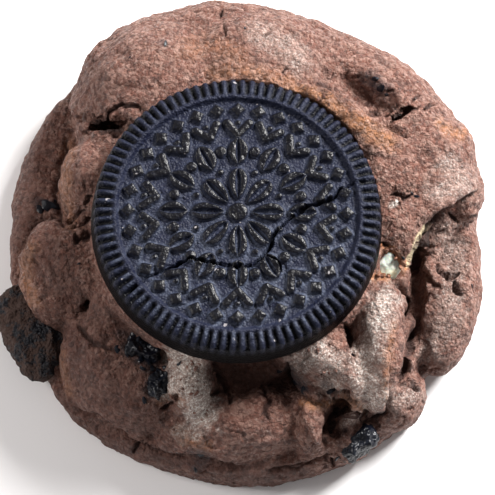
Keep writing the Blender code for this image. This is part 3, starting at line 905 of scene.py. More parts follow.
    def build(self, shift: Vector, material: bpy.types.Material) -> bpy.types.Object:
        """Turn the profile, shape it and put the wafer in its seat.

        Args:
            shift: The step from the sketch's frame to the CAD frame, in millimetres.
            material: The wafer's material.

        Returns:
            The wafer.
        """
        Bench.clear()
        mesh = bpy.data.meshes.new("wafer_top")
        chain = [(out, 0.0, up) for out, up in self.profile()]
        mesh.from_pydata(chain, [(index, index + 1) for index in range(len(chain) - 1)], [])
        wafer = bpy.data.objects.new("embossed_wafer", mesh)
        bpy.context.scene.collection.objects.link(wafer)
        Bench.pick(wafer)
        bpy.ops.object.mode_set(mode="EDIT")
        bpy.ops.mesh.select_all(action="SELECT")
        steps = self.ridges * self.steps_per_ridge
        bpy.ops.mesh.spin(steps=steps, angle=math.tau, center=(0, 0, 0), axis=(0, 0, 1))
        bpy.ops.mesh.select_all(action="SELECT")
        bpy.ops.mesh.remove_doubles(threshold=0.002)
        bpy.ops.mesh.normals_make_consistent(inside=False)
        bpy.ops.object.mode_set(mode="OBJECT")
        wafer.data.transform(Matrix.Scale(MM, 4))
        turned = Bench.points(wafer)
        shaped = self.shape(turned)
        place = np.array(Matrix.Translation(shift) @ self.place())
        Bench.place_points(wafer, shaped @ place[:3, :3].T + place[:3, 3])
        for name, values in self.masks(turned).items():
            Bench.paint(wafer, name, values)
        Bench.finish(wafer, material, "wafer", ("wafer",))
        return wafer

    def masks(self, turned: np.ndarray) -> dict[str, np.ndarray]:
        """Give the wafer's masks: painted shade in grooves, its figures, painted sheen at their feet, painted
        shade on its wall.
        """
        radius = np.hypot(turned[:, 0], turned[:, 1])
        angle = np.arctan2(turned[:, 1], turned[:, 0])
        on_rim = ease((radius - self.radius + self.rim_width) / 0.7)
        within = self.figures(radius, angle)[1]
        # Painted sheen, stronger towards the front
        frontward = ease((9.0 - turned[:, 1]) / 22.0)
        painted_sheen = ease(1.0 + within / 0.9) * (within < 0.05) * (1.0 - on_rim)
        # Painted highlight on the inner part of the rim's ridges
        ridge_foot = on_rim * (1.0 - self.grooves(angle)) * ease((self.radius - 0.4 - radius) / 1.6)
        return {
            # Painted shade in the rim's grooves
            "crease_shade": 0.95 * self.grooves(angle) * on_rim * (1.0 - ease(-turned[:, 2] / 3.2)),
            "raised": ease((within + 0.15) / 0.4) * (1.0 - on_rim),
            "painted_sheen": (0.25 + 0.75 * frontward) * np.maximum(painted_sheen, 0.75 * ridge_foot),
            # Painted shade on the side wall
            "wall": ease(-turned[:, 2] / 2.6 - 0.15),
        }


class PieceSketch(NamedTuple):
    """A broken piece in the dough: its CAD node, its place and the draw of its corners."""

    node: str
    lobe: Lobe
    seed: int


@dataclass
class BrokenPiece:
    """One broken piece, blunt and craggy, in the form of its CAD node."""

    sketch: PieceSketch
    slot: str
    squareness: float = 0.62
    roughness: float = 0.09
    rounds: int = 4
    craggy: float = 0.28
    crag_size: float = 2.2

    def blank(self) -> bpy.types.Object:
        """Make the plain piece with its blunt corners, in the sketch's frame."""
        Bench.clear()
        bpy.ops.mesh.primitive_ico_sphere_add(subdivisions=2, radius=1.0)
        piece = bpy.context.object
        piece.name = self.sketch.node + "_detail"
        lobe = self.sketch.lobe
        matrix = lobe_matrix(lobe)
        draw = random.Random(self.sketch.seed)
        for vert in piece.data.vertices:
            direction = vert.co.copy()
            blunt = direction / max(abs(value) for value in direction)
            shape = direction.lerp(blunt, self.squareness)
            shape *= 1.0 + draw.uniform(-self.roughness, self.roughness)
            vert.co = matrix @ shape * MM
        return piece

    def build(self, shift: Vector, material: bpy.types.Material) -> bpy.types.Object:
        """Break up the blank's faces and set it in the dough.

        Args:
            shift: The step from the sketch's frame to the CAD frame, in millimetres.
            material: The piece's material.

        Returns:
            The piece.
        """
        piece = self.blank()
        divide = piece.modifiers.new("round_off", "SUBSURF")
        divide.levels = divide.render_levels = self.rounds
        Bench.apply_modifiers(piece)
        points = Bench.points(piece)
        normals = Bench.normals(piece)
        seed = float(self.sketch.seed)
        crag = 0.5 - np.abs(noise_field(points, self.crag_size, seed)) * 2.2
        grain = noise_field(points, 0.36 * self.crag_size, seed + 3.0)
        fine = noise_field(points, 0.15 * self.crag_size, seed + 5.0)
        points += normals * (self.craggy * (crag + 0.7 * grain + 0.35 * fine))[:, None]
        Bench.place_points(piece, points + np.array(shift))
        Bench.finish(piece, material, self.slot, (self.sketch.node,))
        return piece


def lobe_matrix(lobe: Lobe) -> Matrix:
    """Give the matrix that turns a unit ball into a lobe, in millimetres."""
    place = Matrix.Translation((lobe.x, lobe.y, lobe.z))
    turn = Matrix.Rotation(math.radians(lobe.turn), 4, "Z")
    return place @ turn @ Matrix.Diagonal((lobe.half_x, lobe.half_y, lobe.half_z, 1.0))


@dataclass
class Dough:
    """The baked dough: skirt, shoulder, higher mass and lobes, sculpted and painted."""

    skirt_outline: Sequence[Plan] = (
        (40.3, 0.0), (40.6, 9.0), (39.2, 17.2), (35.8, 24.8), (29.5, 32.2), (21.0, 37.6), (11.0, 42.0),
        (0.0, 45.0), (-10.7, 44.2), (-20.0, 41.0), (-27.4, 36.0), (-32.3, 29.6), (-37.0, 23.5),
        (-40.0, 14.8), (-41.2, 4.2), (-40.0, -6.3), (-36.8, -15.3), (-33.2, -22.2), (-29.0, -28.0),
        (-24.0, -32.2), (-15.8, -36.0), (-5.0, -38.8), (6.0, -38.9), (15.2, -36.6), (21.0, -33.2),
        (26.0, -29.6), (28.8, -24.0), (33.4, -18.2), (38.0, -10.8))
    skirt_top: float = 7.0
    skirt_round: float = 4.0
    mass_outline: Sequence[Plan] = (
        (33.5, 2.0), (39.0, 5.5), (41.0, 9.2), (39.2, 17.2), (35.4, 24.8), (29.0, 32.2), (20.5, 37.1),
        (10.6, 41.3), (0.0, 44.6), (-10.3, 43.8), (-19.4, 40.5), (-26.6, 35.4), (-29.3, 28.4),
        (-29.6, 21.0), (-27.0, 12.0), (-20.0, -5.0), (0.0, -16.0), (20.0, -9.0), (28.0, -3.0))
    mass_top: float = 20.0
    mass_round: float = 9.5
    shoulder_radius: float = 24.6
    shoulder_top: float = 21.6
    shoulder_round: float = 3.5
    floor_cut: float = 8.0
    outline_steps: int = 8
    rounding_steps: int = 8
    shoulder_points: int = 128
    lobe_detail: int = 5
    hollow_detail: int = 4
    base_side: float = 120.0
    seat_points: int = 180
    seat_tightness: float = 0.12
    melt_grain: float = 0.55
    skin_grain: float = 0.335
    softening: int = 9
    split_patch: float = 11.0
    split_size: float = 3.1
    split_width: float = 0.07
    split_depth: float = 0.4
    shade_paint_depth: float = 0.7
    shade_paint_share: float = 0.8
    crease_rounds: int = 14
    crease_hold: float = 0.4
    swell_sizes: Sequence[Plan] = ((9.0, 0.55), (3.6, 0.34), (1.8, 0.28), (0.85, 0.17))
    lobes: Sequence[Lobe] = (
        Lobe(-14.0, 26.5, 13.0, 14.5, 13.0, 11.6, 25.0),
        Lobe(2.0, 29.0, 12.5, 16.0, 12.6, 12.3, 0.0),
        Lobe(14.5, 20.5, 16.0, 14.5, 5.6, 8.8, -36.0),
        Lobe(24.5, 10.5, 14.0, 12.5, 9.0, 8.0, 45.0),
        Lobe(31.0, 15.0, 11.5, 9.0, 9.0, 9.6, 0.0),
        Lobe(24.8, 2.4, 17.8, 3.9, 5.8, 3.5, -8.0),
        Lobe(25.9, -1.5, 18.3, 3.0, 2.5, 1.7, 10.0),
        Lobe(26.5, -3.7, 18.1, 1.3, 2.3, 1.3, 8.0),
        Lobe(-25.6, 10.5, 12.0, 5.8, 8.0, 8.6, 0.0),
        Lobe(-28.0, -3.2, 9.0, 10.5, 7.8, 8.6, -32.0),
        Lobe(-20.5, -9.5, 11.0, 6.0, 6.5, 7.6, -20.0),
        Lobe(-32.0, -8.6, 8.0, 6.5, 4.2, 6.0, -40.0),
        Lobe(-20.0, -21.0, 7.0, 12.8, 9.0, 9.4, -42.0),
        Lobe(-9.3, -23.0, 11.5, 4.4, 7.2, 7.4, 8.0),
        Lobe(-2.0, -29.6, 5.5, 14.5, 6.8, 8.4, 0.0),
        Lobe(11.0, -29.0, 6.5, 3.4, 6.8, 7.8, 0.0),
        Lobe(16.3, -31.2, 3.5, 5.6, 5.0, 6.4, 20.0),
        Lobe(22.2, -16.8, 12.5, 4.3, 11.8, 8.8, -3.0),
        Lobe(12.6, -19.4, 13.0, 5.4, 5.8, 8.0, 20.0),
        Lobe(17.6, -22.6, 12.0, 4.6, 6.0, 7.2, 0.0),
        Lobe(34.4, -6.0, 5.5, 6.2, 15.6, 7.8, -7.0),
        Lobe(25.4, -25.2, 4.5, 5.2, 6.2, 7.0, -45.0),
        Lobe(27.6, -17.0, 7.0, 1.9, 5.5, 6.3, 0.0),
        Lobe(26.4, -6.5, 11.0, 2.2, 3.0, 4.6, 0.0))
    hollows: Sequence[Lobe] = (
        Lobe(-22.8, 19.0, 20.5, 3.8, 1.1, 7.0, 4.0),
        Lobe(-27.8, 21.3, 20.5, 2.6, 1.0, 5.0, -22.0),
        Lobe(35.2, -1.2, 19.0, 5.8, 9.6, 8.4, -45.0),
        Lobe(28.9, -10.5, 17.2, 2.0, 12.0, 9.5, -3.0),
        Lobe(21.3, 24.4, 22.0, 7.2, 3.0, 5.0, -36.0),
        Lobe(26.6, 20.8, 20.5, 2.6, 0.9, 6.0, 28.0),
        Lobe(15.6, -29.6, 11.5, 2.7, 3.4, 5.4, -20.0),
        Lobe(0.5, -23.4, 18.0, 6.6, 4.6, 8.0, 0.0),
        Lobe(-26.4, -10.6, 16.0, 1.2, 1.1, 4.0, 0.0),
        Lobe(-32.2, 4.6, 14.0, 2.6, 1.4, 7.0, 15.0))
    strokes: Sequence[Stroke] = field(default_factory=lambda: DOUGH_STROKES)
    ledges: Sequence[Ledge] = field(default_factory=lambda: DOUGH_LEDGES)

    def add_pillow(self, outline: Sequence[Vector], top: float, rounding: float) -> bpy.types.Object:
        """Make a body with an upright wall and rounded shoulders over an outline.

        Args:
            outline: The closed outline in plan.
            top: The height of its flat top.
            rounding: The radius of its shoulder.

        Returns:
            The body.
        """
        Bench.clear()
        bpy.ops.mesh.primitive_circle_add(vertices=len(outline), radius=1.0, fill_type="NGON")
        body = bpy.context.object
        for vert, point in zip(body.data.vertices, outline):
            vert.co = Vector((point.x, point.y, -self.floor_cut)) * MM
        profile = [(0.0, top - rounding)]
        for step in range(1, self.rounding_steps + 1):
            angle = math.radians(90.0 * step / self.rounding_steps)
            profile.append((rounding * (1.0 - math.cos(angle)), top - rounding * (1.0 - math.sin(angle))))
        bpy.ops.object.mode_set(mode="EDIT")
        bpy.ops.mesh.select_all(action="SELECT")
        for inset, height in profile:
            bpy.ops.mesh.extrude_region_move()
            bpy.ops.object.mode_set(mode="OBJECT")
            moved = [vert for vert in body.data.vertices if vert.select]
            for vert, point in zip(moved, outline):
                inner = point * (1.0 - inset / point.length)
                vert.co = Vector((inner.x, inner.y, height)) * MM
            bpy.ops.object.mode_set(mode="EDIT")
        bpy.ops.mesh.select_all(action="SELECT")
        bpy.ops.mesh.normals_make_consistent(inside=False)
        bpy.ops.object.mode_set(mode="OBJECT")
        return body

    @staticmethod
    def add_ball(lobe: Lobe, detail: int) -> bpy.types.Object:
        """Make a ball in the form of one lobe."""
        Bench.clear()
        bpy.ops.mesh.primitive_ico_sphere_add(
            subdivisions=detail, radius=1.0, location=(lobe.x * MM, lobe.y * MM, lobe.z * MM),
            rotation=(0.0, 0.0, math.radians(lobe.turn)),
            scale=(lobe.half_x * MM, lobe.half_y * MM, lobe.half_z * MM))
        return bpy.context.object

    def melt_lobes(self) -> bpy.types.Object:
        """Join skirt, shoulder, mass and lobes, cut the hollows and skin the whole evenly."""
        angles = [math.tau * index / self.shoulder_points for index in range(self.shoulder_points)]
        turns = [Vector((math.cos(angle), math.sin(angle))) for angle in angles]
        shoulder = [Vector(Wafer.centre[:2]) + self.shoulder_radius * turn for turn in turns]
        skirt = smooth_loop(self.skirt_outline, self.outline_steps)
        mass = smooth_loop(self.mass_outline, self.outline_steps)
        parts = [self.add_pillow(skirt, self.skirt_top, self.skirt_round),
                 self.add_pillow(shoulder, self.shoulder_top, self.shoulder_round),
                 self.add_pillow(mass, self.mass_top, self.mass_round)]
        parts += [self.add_ball(lobe, self.lobe_detail) for lobe in self.lobes]
        dough = Bench.join(parts, "baked_dough")
        Bench.remesh(dough, self.melt_grain)
        balls = [self.add_ball(hollow, self.hollow_detail) for hollow in self.hollows]
        Bench.cut(dough, Bench.join(balls, "hollows"))
        Bench.remesh(dough, self.skin_grain)
        Bench.soften(dough, self.softening)
        return dough

    def sculpt(self, dough: bpy.types.Object, view: PhotoView, shift: Vector) -> None:
        """Swell the surface unevenly and lay every shaping stroke on what the camera sees.

        Args:
            dough: The dough, still in the sketch's frame.
            view: The photograph's view.
            shift: The step from the sketch's frame to the CAD frame, in millimetres.
        """
        points = Bench.points(dough)
        normals = Bench.normals(dough)
        move = sum(depth * noise_field(points, size) for size, depth in self.swell_sizes)
        cracked = ease(2.2 * noise_field(points, self.split_patch, 5.0) + 0.1)
        split = 1.0 - ease(np.abs(noise_field(points, self.split_size, 12.0)) / self.split_width)
        move -= self.split_depth * cracked * split
        placed = points + np.array(shift)
        for stroke in self.strokes:
            if stroke.channel is Channel.SHAPE:
                move += stroke.lift * self.stroke_share(stroke, placed, normals, view)
        for ledge in self.ledges:
            move += self.ledge_move(ledge, placed, normals, view)
        points += normals * move[:, None]
        Bench.place_points(dough, points)

    @staticmethod
    def seen_by(course: Sequence[Plan], reach: float, wander: float, points: np.ndarray,
                normals: np.ndarray, view: PhotoView) -> tuple[np.ndarray, Offset, np.ndarray]:
        """Find the points near a course that face the camera, and their places by it.

        Args:
            course: The course's pixels.
            reach: How far from it points count, in millimetres.
            wander: How far the course strays, in millimetres.
            points: The surface's points.
            normals: Their normals.
            view: The photograph's view.

        Returns:
            Which points count, their places by the course, and their pixels to the millimetre.
        """
        pixels, scale = view.pixels(points)
        margin = (reach + 2.0 * wander) * scale.max()
        ends = np.array(course, float)
        near = np.all((pixels > ends.min(0) - margin) & (pixels < ends.max(0) + margin), axis=1)
        near &= np.einsum("ij,ij->i", normals, np.array(view.place) - points) > 0.0
        spots = pixels[near]
        scale = scale[near]
        if wander and len(spots):
            drift = [noise_field(points[near], 1.3, seed) for seed in (3.0, 8.0)]
            spots = spots + wander * scale[:, None] * np.stack(drift, axis=1)
        return near, path_offset(spots, course), scale

    @staticmethod
    def stroke_share(stroke: Stroke, points: np.ndarray, normals: np.ndarray,
                     view: PhotoView) -> np.ndarray:
        """Give how much of a stroke each point gets, from 0 to 1."""
        share = np.zeros(len(points))
        near, offset, scale = Dough.seen_by(stroke.points, stroke.reach, stroke.wander, points, normals, view)
        reach = np.full(len(scale), stroke.reach)
        if stroke.wander:
            reach *= 1.0 + 0.7 * noise_field(points[near], 1.2, 15.0)
        if len(stroke.points) > 1 and stroke.reach < 1.0:
            reach *= np.clip(0.4 + offset.from_end / scale / 1.8, 0.0, 1.0)
        share[near] = ease((1.0 - offset.gap / scale / reach) * stroke.edge)
        return share

    @staticmethod
    def ledge_move(ledge: Ledge, points: np.ndarray, normals: np.ndarray,
                   view: PhotoView) -> np.ndarray:
        """Give how far a ledge moves each point out, in millimetres."""
        move = np.zeros(len(points))
        near, offset, scale = Dough.seen_by(ledge.points, ledge.reach, ledge.wander, points, normals, view)
        gap = offset.side * offset.gap / scale
        taper = ease(offset.from_end / scale / 1.6)
        rise = ledge.lift * ease(1.0 - gap / ledge.reach) * ease(gap / 0.6 + 0.4)
        sink = ledge.sink * ease(1.0 + gap / (0.62 * ledge.reach)) * (gap < 0.0)
        move[near] = taper * (rise * (gap > -0.3) - sink)
        return move

    def cut_base_and_seat(self, dough: bpy.types.Object, wafer: Wafer) -> None:
        """Cut the flat base and the wafer's seat.

        Args:
            dough: The sculpted dough, in the sketch's frame.
            wafer: The wafer, whose place and size the seat takes.
        """
        Bench.clear()
        bpy.ops.mesh.primitive_cube_add(size=1.0, location=(0, 0, -2 * self.floor_cut * MM),
                                        scale=(self.base_side * MM, self.base_side * MM,
                                               4 * self.floor_cut * MM))
        floor = bpy.context.object
        bpy.ops.object.transform_apply(location=True, rotation=True, scale=True)
        Bench.cut(dough, floor)
        radius = wafer.radius + wafer.foot_flare - self.seat_tightness
        bpy.ops.mesh.primitive_cylinder_add(vertices=self.seat_points, radius=radius * MM,
                                            depth=2 * wafer.thickness * MM)
        seat = bpy.context.object
        seat.data.transform(wafer_seat_matrix(wafer))
        Bench.cut(dough, seat)

    def paint(self, dough: bpy.types.Object, view: PhotoView) -> None:
        """Paint the masks of all channels but the shape's, and the crease shade mask: painted shade in
        creases.

        Deep strokes of the shape's channel get painted shade at their place too.

        Args:
            dough: The dough in its final place.
            view: The photograph's view.
        """
        points = Bench.points(dough)
        normals = Bench.normals(dough)
        for channel in list(Channel)[1:]:
            mask = np.zeros(len(points))
            for stroke in self.strokes:
                if stroke.channel is channel:
                    share = self.stroke_share(stroke, points, normals, view)
                    mask = np.maximum(mask, stroke.lift * share)
                # Deep shape strokes also get painted shade
                elif (channel is Channel.DARK and stroke.channel is Channel.SHAPE
                      and stroke.lift < -self.shade_paint_depth):
                    share = self.stroke_share(stroke, points, normals, view)
                    mask = np.maximum(mask, self.shade_paint_share * share)
            Bench.paint(dough, channel.value, np.clip(mask, 0.0, 1.0))
        # Painted shade in creases: how far each point lies sunk below the smoothed surface
        edges = np.empty(len(dough.data.edges) * 2, np.int32)
        dough.data.edges.foreach_get("vertices", edges)
        ends = edges.reshape(-1, 2)
        count = np.bincount(edges, minlength=len(points)).astype(float)
        smooth = points.copy()
        for _ in range(self.crease_rounds):
            total = np.zeros_like(smooth)
            np.add.at(total, ends[:, 0], smooth[ends[:, 1]])
            np.add.at(total, ends[:, 1], smooth[ends[:, 0]])
            smooth = self.crease_hold * smooth + (1.0 - self.crease_hold) * total / count[:, None]
        sunk = np.einsum("ij,ij->i", smooth - points, normals)
        Bench.paint(dough, "crease_shade", np.clip((sunk - 0.05) / 0.5, 0.0, 0.9))

    def build(self, view: PhotoView, wafer: Wafer, shift: Vector,
              material: bpy.types.Material) -> bpy.types.Object:
        """Build, sculpt, cut and paint the dough.

        Args:
            view: The photograph's view.
            wafer: The wafer that sits in it.
            shift: The step from the sketch's frame to the CAD frame, in millimetres.
            material: The dough's material.

        Returns:
            The dough.
        """
        dough = self.melt_lobes()
        self.sculpt(dough, view, shift)
        self.cut_base_and_seat(dough, wafer)
        dough.data.transform(Matrix.Translation(shift * MM))
        self.paint(dough, view)
        Bench.finish(dough, material, "dough", ("dough",))
        return dough


def wafer_seat_matrix(wafer: Wafer) -> Matrix:
    """Give the place of a cylinder of twice the wafer's thickness that cuts its seat, in metres."""
    place = wafer.place()
    place.translation *= MM
    return place


DOUGH_LEDGES: Sequence[Ledge] = (
    # The lobe at the left, over the skirt and the broken piece
    Ledge(((62, 336), (55, 333), (48, 327), (38, 316), (31, 307), (27, 298), (23, 287), (21, 275),
           (22, 262), (27, 250), (32, 237), (38, 227), (50, 220), (62, 219)), 2.8, 0.8, 0.9),
    # The small lobe beside the wafer at the upper left
    Ledge(((65, 228), (63, 215), (59, 205), (57, 195), (58, 186), (61, 176), (62, 164), (69, 152),
           (67, 140), (74, 138)), 2.2, 0.6, 0.9),
    # The left edge of the upper mass
    Ledge(((74, 138), (76, 128), (76, 118), (73, 108), (71, 97), (71, 86)), 2.4, 0.6, 0.8),
    # The long lower edge of the front lobes, over the skirt
    Ledge(((245, 466), (228, 461), (215, 457), (200, 453), (185, 452), (168, 450), (155, 447),
           (142, 441), (135, 437), (122, 428), (110, 420), (98, 413), (82, 407), (71, 401), (66, 392),
           (62, 380), (60, 370), (60, 358), (62, 346), (63, 336)), 2.6, 0.7, 0.9),
    Ledge(((330, 452), (318, 458), (300, 463), (280, 467), (262, 469)), 2.0, 0.4, 0.5),
    # The long bright lobe at the lower right
    Ledge(((391, 277), (390, 284), (397, 292), (403, 300), (403, 310), (399, 322), (394, 338), (390, 355),
           (388, 370), (387, 385), (385, 398), (381, 411), (372, 417), (361, 420)), 2.6, 0.8, 1.3),
    # The flap over the hollow at the right
    Ledge(((478, 189), (468, 194), (455, 200), (440, 208), (430, 216), (424, 225), (417, 237), (411, 249),
           (406, 263)), 2.6, 0.8, 2.2),
    # The lip over the recess at the upper right
    Ledge(((300, 83), (312, 86), (325, 90), (335, 95), (342, 101), (350, 108), (362, 115), (375, 124),
           (385, 131), (396, 136), (410, 139)), 2.6, 0.7, 1.3),
    # The lobe under the wafer's lower right edge
    Ledge(((326, 401), (318, 401), (303, 394), (297, 382), (292, 371), (286, 358)), 2.0, 0.6, 0.9),
    # The pale strip beside the sunk middle
    Ledge(((213, 362), (217, 374), (221, 385), (229, 397), (226, 408)), 1.8, 0.5, 1.3),
    # The rim of the cave
    Ledge(((364, 415), (357, 408), (348, 406), (338, 410), (328, 417), (322, 427), (321, 441), (326, 448)),
          1.8, 0.35, 2.4),
    # The inner lobe in the crevice at the right
    Ledge(((410, 312), (409, 335), (405, 352), (400, 366), (393, 379)), 1.8, 0.4, 1.3),
    # The lower right lump over the skirt
    Ledge(((424, 392), (414, 384), (404, 382), (394, 384)), 1.6, 0.4, 0.8),
    # The step between the front lobe and the lump at its right
    Ledge(((322, 452), (312, 440), (306, 425), (302, 412), (304, 400)), 2.0, 0.4, 0.5),
)

